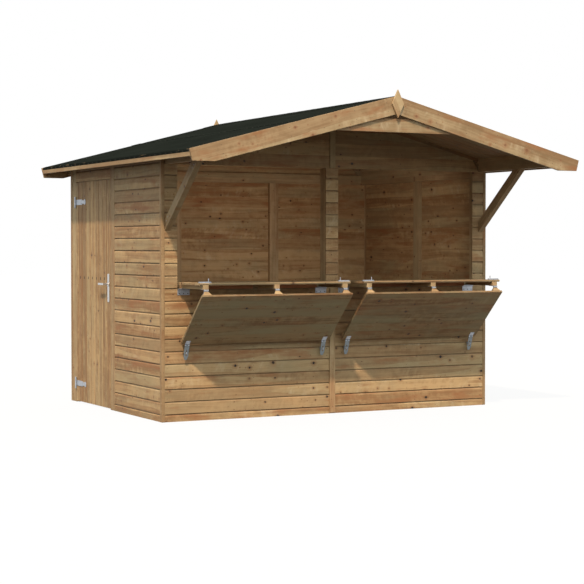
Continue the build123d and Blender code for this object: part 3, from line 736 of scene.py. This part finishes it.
def turned(name, profile, sides, lobes):
    """A small turned head. With lobes, its recess is a cross."""
    points = []
    for number, (radius, height) in enumerate(profile):
        for step in range(sides):
            angle = 2 * math.pi * step / sides
            reach = radius * (1 + 0.45 * math.cos(lobes * angle)) if lobes and number > len(profile) // 2 else radius
            points.append((reach * math.cos(angle), reach * math.sin(angle), height))
    faces = []
    for row in range(len(profile) - 1):
        for step in range(sides):
            a, b = row * sides + step, row * sides + (step + 1) % sides
            faces.append((a, b, b + sides, a + sides))
    faces.append(tuple(range(sides))[::-1])
    faces.append(tuple(range(len(points) - sides, len(points))))
    mesh = bpy.data.meshes.new(name)
    mesh.from_pydata(points, [], faces)
    return linked(name, mesh)


def fixings_tree():
    """A head on every point, turned to face the point's own direction."""
    inputs = [("Points", "Geometry"), ("Head", "Object"), ("Radius", "Float"), ("Seed", "Int"),
              ("Material", "Material")]
    graph, value, out = new_tree("Fixings", "GeometryNodeTree", inputs, [("Geometry", "Geometry")])
    head = graph.out("GeometryNodeObjectInfo", {"Object": value["Head"]}, "Geometry")
    aim = {"Vector": graph.named("facing", "FLOAT_VECTOR")}
    aimed = graph.out("FunctionNodeAlignRotationToVector", aim, axis="Z")
    angle = graph.out("FunctionNodeRandomValue", {"Seed": value["Seed"]}, 1, data_type="FLOAT") * 6.2832
    spin = graph.out("FunctionNodeAxisAngleToRotation", {"Axis": (0, 0, 1), "Angle": angle})
    turn = graph.out("FunctionNodeRotateRotation", {"Rotation": aimed, "Rotate By": spin}, rotation_space="LOCAL")
    size = graph.join(value["Radius"], value["Radius"], value["Radius"])
    graph.put(out["Geometry"], graph.chain(
        value["Points"], ("InstanceOnPoints", {"Instance": head, "Rotation": turn, "Scale": size}),
        ("RealizeInstances", {}), ("SetMaterial", {"Material": value["Material"]})))
    return graph.tree


def fixings(name, body, kind, radius, places, material="zinc_steel", slot="zinc_steel"):
    """Nail or screw heads at (place, direction) pairs."""
    holder = bpy.data.meshes.new("places")
    holder.from_pydata([place for place, facing in places], [], [])
    holder.attributes.new("facing", "FLOAT_VECTOR", "POINT")
    for item, (place, facing) in zip(holder.attributes["facing"].data, places):
        item.vector = facing
    head = bpy.data.objects.get(f"{kind}_head") or turned(f"{kind}_head", *HEADS[kind])
    values = {"Head": head, "Radius": radius, "Seed": len(places), "Material": finish(material)}
    mesh = evaluated(bpy.data.node_groups.get("Fixings") or fixings_tree(), values, holder)
    settle(name, [mesh], body, slot)


def on_plate(points, toward, out, offsets):
    """Screw places on a hinge plate, at offsets given as (back from its far edge, aside from its middle line)."""
    toward, out = toward.normalized(), out.normalized()
    across = out.cross(toward)
    far = max(point.dot(toward) for point in points)
    plate = [point for point in points if point.dot(toward) > far - 0.004]
    face = max(point.dot(out) for point in plate)
    spread = [point.dot(across) for point in plate]
    middle = (min(spread) + max(spread)) / 2
    return [(toward * (far - back) + across * (middle + aside) + out * face, out) for back, aside in offsets]


def on_plates(node, toward, out, offsets):
    return [place for points in islands(node) for place in on_plate(points, toward, out, offsets)]


def spaced(low, high, step):
    """Evenly spaced places from low to high, about a step apart."""
    count = max(1, round((high - low) / step))
    return [low + (high - low) * number / count for number in range(count + 1)]


# ---- operators -----------------------------------------------------------------------------------
class BuildOperator:
    bl_options = {"REGISTER", "UNDO"}

    def execute(self, context):
        self.build(context.scene.stall_sizes)
        return {"FINISHED"}


class STALL_OT_walls(BuildOperator, bpy.types.Operator):
    """Lay the shiplap boards of the four walls and the two gables"""
    bl_idname = "stall.walls"
    bl_label = "Wall boards"

    def build(self, sizes):
        plain = (("left_wall_cladding", LEFT), ("right_wall_cladding", RIGHT), ("front_lower_cladding", FRONT),
                 ("front_strip_cladding", FRONT), ("back_wall_cladding", BACK), ("door_header", LEFT))
        for number, (node, wall) in enumerate(plain):
            short = 0.0035 if node == "left_wall_cladding" else 0.0
            settle(f"{node}_boards", laid(node, wall, seed=20 * number, short=short), "stall", "cladding", node)
        for number, (node, wall) in enumerate((("front_gable_cladding", FRONT), ("back_gable_cladding", BACK))):
            # The gable's boards end at the roof's slope, which the panel's own corners give.
            points = [point for solid in islands(node) for point in solid]
            low, high = limits(points)
            shoulder = limits([point for point in points if abs(abs(point.x) - high.x) < SAME])[1].z
            inner = max(abs(point.x) for point in points if point.z > high.z - SAME)
            fall = (high.z - shoulder) / (high.x - inner)
            meshes = laid(node, wall, "tight", seed=200 + 20 * number, peak=high.z + inner * fall, fall=fall,
                          first=low.z)
            settle(f"{node}_boards", meshes, "stall", "cladding", node)
        self.hatch_stops()

    def hatch_stops(self):
        """Behind the foot of each closed hatch, a stop rail on the back of the sill, packed out to clear it."""
        sills = [box for box in boxes("front_wall_rails") if box[0].z > 0.5]
        for side, (low, high) in zip(("left", "right"), sills):
            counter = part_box(f"{side}_counter_board")
            pin = next(Vector(joint["pos_m"]) for joint in frame["joints"] if joint["name"] == f"{side}_counter")
            # Closed, the counter's upper face stands as far behind the pin as it lies above it when open.
            face = pin.y + counter[1].z - pin.z + CLEAR
            meshes = [boards(FRONT, -face, low.x, high.x, low.z, counter[0].z - 0.004, STOP, 241),
                      boards(FRONT, -high.y, low.x, high.x, low.z, high.z - 0.002, face - high.y, 243)]
            settle(f"{side}_hatch_stop", meshes, "stall", "framing")


class STALL_OT_framing(BuildOperator, bpy.types.Operator):
    """Dress the studs, rails, beams, rafters, braces and posts"""
    bl_idname = "stall.framing"
    bl_label = "Framing"

    def build(self, sizes):
        for node in ("front_wall_studs", "front_wall_rails", "back_wall_studs", "back_wall_rails", "side_wall_studs",
                     "side_wall_rails", "gable_rails", "centre_post", "eave_beams", "ridge_beam",
                     "roof_eave_battens", "canopy_braces"):
            dressed(node)
        dressed("roof_rafters", material="roof_boards")


class STALL_OT_trims(BuildOperator, bpy.types.Operator):
    """Dress the bargeboards, finials, fascias, corner trims and cover strips"""
    bl_idname = "stall.trims"
    bl_label = "Trims"

    def build(self, sizes):
        for node in ("finials", "eave_fascias", "corner_trims", "front_cover_strips", "door_posts"):
            piece = dressed(node, "trim", "planed_trim")
            if node == "finials":
                # The finials are cut a little wider than the frame has them.
                piece.data.transform(Matrix.Diagonal((1.13, 1.0, 1.0, 1.0)))
        for node in ("front_bargeboards", "rear_bargeboards", "collar_boards"):
            piece = dressed(node, "trim", "barge_boards", pith=node != "collar_boards")
            if node == "rear_bargeboards":
                # The felt's edge covers the boards' upper arris.
                piece.data.transform(Matrix.Translation((0, 0, -0.002)))


class RoofSlope:
    """One slope of the felt: places on it by their distance from the ridge, their rise above the felt's bed and y."""

    def __init__(self, node, side):
        self.low, self.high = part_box(node)
        eave = max(islands(node)[0], key=lambda point: (round(side * point.x, 5), point.z))
        self.ridge = Vector((0, 0, self.high.z))
        down = Vector((eave.x, 0, eave.z)) - self.ridge
        self.run = down.length
        self.down = down.normalized()
        self.up = Vector((side * -self.down.z, 0, abs(self.down.x)))
        self.turn = math.pi / 2 - math.atan2(-self.down.z, abs(self.down.x))

    def place(self, distance, rise, y):
        """Past the eave's bend the felt turns, and then hangs straight down."""
        past = distance - (self.run - BEND)
        if past <= 0:
            return self.ridge + self.down * distance + self.up * (rise - BED) + Y * y
        turn = min(past / BEND, self.turn)
        centre = self.ridge + self.down * (self.run - BEND) - self.up * BEND
        place = centre + (self.up * math.cos(turn) + self.down * math.sin(turn)) * (BEND + rise - BED)
        return place + Y * y - Z * max(0.0, past - self.turn * BEND)


class STALL_OT_roof(BuildOperator, bpy.types.Operator):
    """Lay the roof boards and the felt over them"""
    bl_idname = "stall.roof"
    bl_label = "Roof"

    def build(self, sizes):
        for number, (node, side) in enumerate((("roof_boards_right", 1), ("roof_boards_left", -1))):
            low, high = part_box(node)
            under = [point for point in islands(node)[0] if abs(point.y - low.y) < SAME]
            eave = min(under, key=lambda point: point.z)
            ridge = min((point for point in under if abs(point.x) < SAME), key=lambda point: point.z)
            slope = (eave - ridge).normalized()
            slope.y = 0
            thickness = (max(point.z for point in under) - ridge.z) * abs(slope.x)
            ends = sorted((-side * low.y, -side * high.y))
            mesh = boards(axes(slope, Y * -side, Vector((ridge.x, 0, ridge.z))), 0.0, 0.0,
                          (eave - ridge).length - 0.001, *ends, thickness, 300 + number, "v", "roof_boards")
            settle(f"{node}_laid", [mesh], "stall", "roof_boards", node)
        for number, (node, side) in enumerate((("roof_felt_right", 1), ("roof_felt_left", -1))):
            self.felt(node, side, random.Random(number), sizes.clout_head)

    def felt(self, node, side, chance, clout):
        """Two lapped courses of felt, turned down over the eave, and half of the ridge cap."""
        slope = RoofSlope(node, side)
        low, high = slope.low, slope.high
        lap, bend = slope.run * 0.5, slope.run - BEND
        hang = bend + BEND * HANG_TURN + HANG
        lower = [lap - LAP, *spaced(lap, bend, FELT_STEP)]
        lower += [bend + part * BEND * HANG_TURN for part in (0.25, 0.5, 0.75, 1.0)] + [hang]
        upper = [(at, 0.0) for at in spaced(0.004, lap - 0.085, FELT_STEP)]
        upper += [(lap - 0.07, FELT), (lap + 0.012, FELT)]
        cap = [(at, FELT) for at in (0.0, 0.06, 0.15)]
        rows = spaced(low.y, high.y, 0.05)
        sheets = ([(at, 0.0) for at in lower], upper, cap)
        settle(f"{node}_sheets", [self.sheet(slope, stations, rows, chance) for stations in sheets], "stall",
               "roof_felt", node)
        places = []
        for y in spaced(low.y + 0.03, high.y - 0.03, 0.1):
            places.append((slope.place(hang - 0.008, FELT, y), X * side))
            places += [(slope.place(at, 2 * FELT, y), slope.up) for at in (lap - 0.008, 0.13)]
        for distance in spaced(0.2, slope.run - 0.06, 0.1):
            if abs(distance - lap) > 0.03:
                places += [(slope.place(distance, FELT, y), slope.up) for y in (low.y + 0.022, high.y - 0.022)]
        fixings(f"{node}_clouts", "stall", "clout", clout, places, "dull_nails")

    def sheet(self, slope, stations, rows, chance):
        """One sheet of felt through (distance, rise) stations, with slightly uneven edges and surface."""
        wave = [chance.uniform(-1, 1) for _ in range(len(rows) + 4)]
        soft = [sum(wave[row:row + 5]) / 5 for row in range(len(rows))]
        shape = bmesh.new()
        grid = []
        for number, (distance, rise) in enumerate(stations):
            ends = number in (0, len(stations) - 1)
            inside = distance < slope.run - 0.1
            line = []
            for row, y in enumerate(rows):
                at = distance + (0.004 * soft[row] if ends and 0.05 < distance and inside else 0.0)
                lift = 0.0012 * chance.uniform(0, 1) if not ends or inside else 0.0
                heights = (rise + FELT + lift, rise)
                line.append([shape.verts.new(slope.place(at, height, y)) for height in heights])
            grid.append(line)
        for a, b in zip(grid, grid[1:]):
            for row in range(len(rows) - 1):
                shape.faces.new((a[row][0], b[row][0], b[row + 1][0], a[row + 1][0]))
                shape.faces.new((a[row][1], a[row + 1][1], b[row + 1][1], b[row][1]))
            for row in (0, len(rows) - 1):
                shape.faces.new((a[row][0], a[row][1], b[row][1], b[row][0]))
        for line in (grid[0], grid[-1]):
            for a, b in zip(line, line[1:]):
                shape.faces.new((a[0], b[0], b[1], a[1]))
        bmesh.ops.recalc_face_normals(shape, faces=shape.faces)
        for face in shape.faces:
            face.smooth = True
        for edge in shape.edges:
            edge.smooth = edge.calc_face_angle(0) < math.radians(35)
        mesh = bpy.data.meshes.new("felt")
        shape.to_mesh(mesh)
        shape.free()
        mesh.materials.append(finish("roof_felt"))
        return mesh


class STALL_OT_door(BuildOperator, bpy.types.Operator):
    """Build the side door's boards, ledges and stop beads"""
    bl_idname = "stall.door"
    bl_label = "Door"

    def build(self, sizes):
        low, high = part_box("door_boards")
        upright = axes(Z, Y)
        mesh = boards(upright, -low.x, low.z, high.z, low.y, high.y, high.x - low.x, 400, "v", "door_boards",
                      low.y + DOOR_EDGE)
        settle("door_boards_laid", [mesh], "door", "door_boards", "door_boards")
        dressed("door_ledges")
        # Stop beads on the studs and under the rail stand behind the door's edges.
        start, end = (corner.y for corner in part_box("door_header"))
        face = high.x + CLEAR
        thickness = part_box("door_ledges")[1].x - face
        head = high.z - 0.013
        rail = min(box[0].z for box in boxes("side_wall_rails") if box[0].z > high.z)
        meshes = [boards(upright, -face, 0.0, head, edge, edge + STOP, thickness, 410)
                  for edge in (start, end - STOP)]
        meshes.append(boards(LEFT, -face, -end, -start, head, rail, thickness, 411))
        settle("door_stop_beads", meshes, "stall", "framing")


def flap_lie(side):
    """The way that a flap's outer face looks, as its own corners give it."""
    points = islands(f"{side}_flap_board")[0]
    end = [point for point in points if point.x < limits(points)[0].x + 1e-3]
    thick = min((point - end[0] for point in end[1:4]), key=lambda span: span.length)
    return thick.normalized() * (-1 if thick.z > 0 else 1)


class STALL_OT_counters(BuildOperator, bpy.types.Operator):
    """Build the two counters and their folding flaps"""
    bl_idname = "stall.counters"
    bl_label = "Counters"

    def build(self, sizes):
        for number, side in enumerate(("left", "right")):
            counter, board = f"{side}_counter", f"{side}_counter_board"
            low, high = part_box(board)
            mesh = boards(axes(X, Y), high.z, low.x, high.x, low.y, high.y, high.z - low.z, 500 + number,
                          material="planed_trim")
            settle(f"{side}_counter_top", [mesh], counter, "counter_boards", board)
            # The flaps' faces take the darker counter_boards colours: painted shade, as they stand in shade.
            meshes = laid(f"{side}_flap_board", axes(X, flap_lie(side).cross(X)), "tight", "counter_boards",
                          520 + number)
            settle(f"{side}_flap_face", meshes, f"{side}_flap", "counter_boards", f"{side}_flap_board")
            self.back_rail(side, low.z, 540 + number)
            dressed(f"{side}_counter_battens", material="planed_trim")
            dressed(f"{side}_flap_battens", material="planed_trim")

    def back_rail(self, side, under, seed):
        """A rail under the counter's back edge, in lengths between the battens and clear of the hinge leaves."""
        battens = sorted(boxes(f"{side}_counter_battens"), key=lambda box: box[0].x)
        leaves = [(low, high) for low, high in boxes(f"{side}_counter_ironwork")
                  if high.x - low.x > LEAF and high.z < under]
        meshes = []
        for left, right in zip(battens, battens[1:]):
            start, end = left[1].x, right[0].x
            for low, high in leaves:
                start = high.x + 0.003 if low.x < start < high.x else start
                end = low.x - 0.003 if low.x < end < high.x else end
            # The rail's red colour is painted warm bounce light in the deep shade under the counter.
            meshes.append(boards(FRONT, RAIL - left[1].y, start, end, left[0].z - 0.008, left[1].z, RAIL, seed,
                                 material="red_pine"))
        settle(f"{side}_counter_back_rail", meshes, f"{side}_counter", "framing")


class STALL_OT_ironwork(BuildOperator, bpy.types.Operator):
    """Finish the hinges, bolts, hasps and the door's handle"""
    bl_idname = "stall.ironwork"
    bl_label = "Ironwork"

    def build(self, sizes):
        finishes = {"hasp": "worn_zinc", "ironwork": "zinc_steel", "hinge": "zinc_steel", "staple": "zinc_steel",
                    "door_handle_plate": "satin_steel", "door_lever": "satin_steel"}
        for node, piece in frame["nodes"].items():
            word = next((word for word in finishes if word in node), None)
            if word:
                piece.data.materials.clear()
                piece.data.materials.append(finish(finishes[word]))
        self.door_screws(sizes.screw_head)
        self.counter_screws(sizes.screw_head)

    def door_screws(self, head):
        rows = [(0.014, -0.034), (0.014, 0.0), (0.014, 0.034)]
        fixings("door_hinge_screws", "stall", "screw", head, on_plates("door_hinge_plates", Y, -X, rows))
        rows = [(0.023, 0.0), (0.095, 0.012), (0.095, -0.012), (0.18, 0.0)]
        fixings("door_strap_bolts", "door", "bolt", head * 1.35, on_plates("door_hinge_straps", -Y, -X, rows))
        low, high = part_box("door_handle_plate")
        # The plate's own face lies behind the rose, three millimetres off the boards.
        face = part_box("door_boards")[0].x - 0.003
        places = [(Vector((face, (low.y + high.y) / 2, z)), -X) for z in (low.z + 0.013, high.z - 0.013)]
        fixings("door_handle_screws", "door", "screw", head * 0.8, places, "satin_steel", "door_furniture")

    def counter_screws(self, head):
        rows = [(0.012, -0.036), (0.012, 0.0), (0.012, 0.036)]
        pair = [(0.012, 0.0), (0.034, 0.0)]
        places = on_plates("counter_wall_hinges", -Z, -Y, rows)
        fixings("counter_hinge_screws", "stall", "screw", head * 1.15, places, "dull_nails")
        for side in ("left", "right"):
            board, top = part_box(f"{side}_counter_board")
            out = flap_lie(side)
            rise = X.cross(out) if X.cross(out).z > 0 else out.cross(X)
            places = []
            for points in islands(f"{side}_counter_ironwork"):
                low, high = limits(points)
                if high.z > top.z + 0.02:
                    x, y = (low.x + high.x) / 2, (low.y + high.y) / 2
                    places += [(Vector((x + along, y + aside, top.z + 0.0025)), Z)
                               for along in (-0.042, 0.0, 0.042) for aside in (-0.0108, 0.0108)]
                elif high.x - low.x > LEAF:
                    places += on_plate(points, -Y, -Z, rows)
                else:
                    places += on_plate(points, Y, -Z, pair)
            fixings(f"{side}_counter_screws", f"{side}_counter", "screw", head * 0.85, places, "worn_zinc")
            places = []
            for points in islands(f"{side}_flap_ironwork"):
                low, high = limits(points)
                if (low.y + high.y) / 2 < board.y + 0.15:
                    places += on_plate(points, -rise, -out, pair)
                else:
                    places += on_plate(points, rise, out, [(0.01, -0.011), (0.01, 0.011), (0.026, 0.0)])
            fixings(f"{side}_flap_screws", f"{side}_flap", "screw", head * 0.85, places)


class STALL_OT_nails(BuildOperator, bpy.types.Operator):
    """Nail the boards and trims"""
    bl_idname = "stall.nails"
    bl_label = "Nails"

    def build(self, sizes):
        self.wall_nails(sizes)
        self.trim_nails(sizes.nail_head)
        self.brace_screws(sizes.screw_head)
        self.door_nails(sizes)

    def wall_nails(self, sizes):
        """Two nails in each board at each stud, and near the ends of a panel."""
        walls = (("left_wall_cladding", LEFT, "side_wall_studs"), ("right_wall_cladding", RIGHT, "side_wall_studs"),
                 ("front_lower_cladding", FRONT, "front_wall_studs"), ("front_strip_cladding", FRONT, None),
                 ("back_wall_cladding", BACK, "back_wall_studs"))
        places = []
        for node, wall, studs in walls:
            lay = wall.inverted()
            lines = [limits([lay @ point for point in solid]) for solid in islands(studs)] if studs else []
            for solid in islands(node):
                low, high = limits([lay @ point for point in solid])
                near = [(a.x + b.x) / 2 for a, b in lines if low.z - 0.05 < (a.z + b.z) / 2 < high.z]
                near = [x for x in near if low.x + 0.1 < x < high.x - 0.1]
                for x in [low.x + 0.02, high.x - 0.02] + near:
                    height = sizes.first_lap - sizes.lap_cover
                    while height < high.y:
                        for part in NAIL_ROWS:
                            z = height + part * sizes.lap_cover
                            if low.y + 0.01 < z < high.y - 0.01:
                                places.append((wall @ Vector((x, z, high.z - 0.0004)), wall.to_3x3() @ Z))
                        height += sizes.lap_cover
        fixings("wall_nails", "stall", "nail", sizes.nail_head, places, "dull_nails")

    def trim_nails(self, head):
        places = []

        def nail(x, y, z, facing):
            places.append((Vector((x, y, z)), facing))

        for low, high in boxes("corner_trims"):
            (x, aside), (y, ahead) = outer((low, high), 0), outer((low, high), 1)
            for z in spaced(low.z + 0.06, high.z - 0.08, 0.3):
                nail(x - aside * 0.014, y, z, Y * ahead)
                nail(x, y - ahead * 0.02, z, X * aside)
        for low, high in boxes("front_cover_strips"):
            for z in spaced(low.z + 0.05, high.z - 0.05, 0.3):
                nail((low.x + high.x) / 2, low.y, z, -Y)
        for low, high in boxes("door_posts"):
            for z in spaced(low.z + 0.06, high.z - 0.1, 0.32):
                for y in (low.y + 0.02, high.y - 0.02):
                    nail(low.x, y, z, -X)
        for low, high in boxes("eave_fascias"):
            x, aside = outer((low, high), 0)
            for y in spaced(low.y + 0.05, high.y - 0.05, 0.45):
                nail(x, y, low.z + 0.016, X * aside)
        for solid in islands("front_bargeboards") + islands("rear_bargeboards"):
            y, ahead = outer(limits(solid), 1)
            ridge = max(solid, key=lambda point: point.z)
            tip = max(solid, key=lambda point: (round(abs(point.x), 4), point.z))
            run = Vector((tip.x - ridge.x, 0, tip.z - ridge.z))
            below = Vector((run.z, 0, -run.x)).normalized()
            below = below if below.z < 0 else -below
            for part in (0.06, 0.22, 0.38, 0.54, 0.70, 0.86):
                for deep in (0.03, 0.095):
                    place = Vector((ridge.x, 0, ridge.z)) + run * part + below * deep
                    nail(place.x, y, place.z, Y * ahead)
        for low, high in boxes("finials"):
            y, ahead = outer((low, high), 1)
            for rise in (-0.03, 0.02):
                nail(0, y - ahead * head * 0.3, (low.z + high.z) / 2 + rise, Y * ahead)
        fixings("trim_nails", "stall", "nail", head * 1.15, places, "dull_nails")

    def brace_screws(self, head):
        """Two screws at the foot and two at the head of each brace, in the middle of its end cuts."""
        places = []
        for low, high in boxes("canopy_braces"):
            x, aside = outer((low, high), 0)
            foot, top = Vector((x, high.y - 0.03, low.z + 0.075)), Vector((x, low.y + 0.075, high.z - 0.03))
            places += [(place, X * aside) for place in (foot, foot + Vector((0, -0.02, 0.03)), top,
                                                        top + Vector((0, 0.025, -0.022)))]
        fixings("brace_screws", "stall", "screw", head, places)

    def door_nails(self, sizes):
        low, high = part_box("door_boards")
        ledges = sorted(boxes("door_ledges"), key=lambda box: box[0].z)
        for number, (foot, top) in enumerate(ledges):
            places = []
            middle = (foot.z + top.z) / 2
            edge = low.y + DOOR_EDGE - sizes.v_cover / 2
            while edge < high.y:
                if low.y + 0.01 < edge < high.y - 0.01:
                    places += [(Vector((low.x, edge, middle + rise)), -X) for rise in (-0.011, 0.011)]
                edge += sizes.v_cover
            if number == len(ledges) // 2:
                # The nails of the middle ledge have rusted and stained the boards.
                marks = [(place + Z * rise, facing) for place, facing in places[::2] for rise in (0.0075, 0.015)]
                fixings("door_rust_marks", "door", "mark", 0.0072, marks, "rusted_nails")
            fixings(f"door_nails_{number + 1}", "door", "nail", sizes.nail_head * 1.1, places, "dull_nails")


class STALL_OT_stage(BuildOperator, bpy.types.Operator):
    """Add the pale floor, the soft light and the camera"""
    bl_idname = "stall.stage"
    bl_label = "Stage"

    def build(self, sizes):
        scene = bpy.context.scene
        light = scene.stall_light
        self.floor()
        self.sky(light)
        key = bpy.data.lights.new("key", "SUN")
        key.energy, key.color, key.angle = light.sun_strength, light.sun_colour, light.sun_angle
        linked("key", key).rotation_euler = Vector(SUN_WAY).to_track_quat("-Z", "Y").to_euler()
        # A lamp behind the hatches adds the light that comes in through them.
        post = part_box("centre_post")[1]
        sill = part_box("left_counter_board")[1].z
        inside = bpy.data.lights.new("inside", "AREA")
        inside.shape, inside.size, inside.size_y = "RECTANGLE", 2.2, 0.8
        inside.energy, inside.color = light.inside_power, light.inside_colour
        soft = linked("inside", inside)
        soft.location = (-0.2, post.y + 0.03, (sill + post.z) / 2)
        soft.rotation_euler = (math.radians(90), 0, 0)
        soft.visible_camera = soft.visible_glossy = False
        view = bpy.data.cameras.new("view")
        view.lens, view.sensor_width, view.clip_end = light.lens, 36, 200
        camera = linked("view", view)
        camera.location = CAMERA_PLACE
        camera.rotation_euler = (math.radians(90 - CAMERA_DIP), 0, math.radians(CAMERA_TURN))
        scene.camera = camera
        scene.view_settings.view_transform = "Standard"

    def seen(self, graph):
        """1 for rays that show the background: from the camera, or off metal and through glass."""
        path = {socket.name: Value(graph, socket) for socket in graph.node("ShaderNodeLightPath").outputs}
        return path["Is Camera Ray"].at_least(path["Is Glossy Ray"]).at_least(path["Is Transmission Ray"])

    def floor(self):
        mesh = bpy.data.meshes.new("floor")
        corners = [(x * FLOOR, y * FLOOR, 0) for x, y in ((-1, -1), (1, -1), (1, 1), (-1, 1))]
        mesh.from_pydata(corners, [], [(0, 1, 2, 3)])
        material = bpy.data.materials.new("floor")
        material.use_nodes = True
        nodes = material.node_tree.nodes
        nodes.remove(nodes["Principled BSDF"])
        graph = Graph(material.node_tree)
        matt = graph.out("ShaderNodeBsdfDiffuse", {"Color": (0.05, 0.049, 0.045, 1)})
        glow = graph.out("ShaderNodeEmission", {"Strength": self.seen(graph) * FLOOR_GLOW})
        both = graph.out("ShaderNodeAddShader", {0: matt, 1: glow})
        graph.put(nodes["Material Output"].inputs["Surface"], both)
        mesh.materials.append(material)
        linked("floor", mesh)

    def sky(self, light):
        world = bpy.data.worlds.new("studio")
        bpy.context.scene.world = world
        world.use_nodes = True
        nodes = world.node_tree.nodes
        graph = Graph(world.node_tree)
        fill = nodes["Background"]
        aside, ahead, up = graph.split(graph.out("ShaderNodeTexCoord", None, "Generated"))
        share = ahead.fade(0.2, -0.9, light.sky_strength, light.sky_strength + light.front_strength)
        graph.put(fill.inputs["Color"], (*light.sky_colour, 1))
        graph.put(fill.inputs["Strength"], share * up.fade(-0.05, 0.35, 0.6, 1.1))
        white = graph.out("ShaderNodeBackground", {"Color": (1, 1, 1, 1), "Strength": 1.0})
        both = graph.out("ShaderNodeMixShader", {0: self.seen(graph), 1: Value(graph, fill.outputs[0]), 2: white})
        graph.put(nodes["World Output"].inputs["Surface"], both)


class STALL_PT_pieces(bpy.types.Panel):
    """Lists the stall's pieces, sizes and colours"""
    bl_idname = "STALL_PT_pieces"
    bl_label = "Market stall"
    bl_space_type = "VIEW_3D"
    bl_region_type = "UI"
    bl_category = "Stall"

    def draw(self, context):
        for operator in OPERATORS:
            self.layout.operator(operator.bl_idname)
        for group in GROUPS:
            settings = getattr(context.scene, group)
            box = self.layout.box()
            for name in settings.__annotations__:
                box.prop(settings, name)


OPERATORS = (STALL_OT_walls, STALL_OT_framing, STALL_OT_trims, STALL_OT_roof, STALL_OT_door, STALL_OT_counters,
             STALL_OT_ironwork, STALL_OT_nails, STALL_OT_stage)
GROUPS = {"stall_sizes": BoardSizes, "stall_colours": StallColours, "stall_light": StudioLight}
CLASSES = (*GROUPS.values(), *OPERATORS, STALL_PT_pieces)


def register():
    for part in CLASSES:
        bpy.utils.register_class(part)
    for name, group in GROUPS.items():
        setattr(bpy.types.Scene, name, PointerProperty(type=group))


def unregister():
    for name in GROUPS:
        delattr(bpy.types.Scene, name)
    for part in reversed(CLASSES):
        bpy.utils.unregister_class(part)


def main():
    register()
    bpy.ops.stall.walls()
    bpy.ops.stall.framing()
    bpy.ops.stall.trims()
    bpy.ops.stall.roof()
    bpy.ops.stall.door()
    bpy.ops.stall.counters()
    bpy.ops.stall.ironwork()
    bpy.ops.stall.nails()
    bpy.ops.stall.stage()
    for kind in HEADS:
        bpy.data.objects.remove(bpy.data.objects[f"{kind}_head"])


if __name__ == "__main__":
    main()
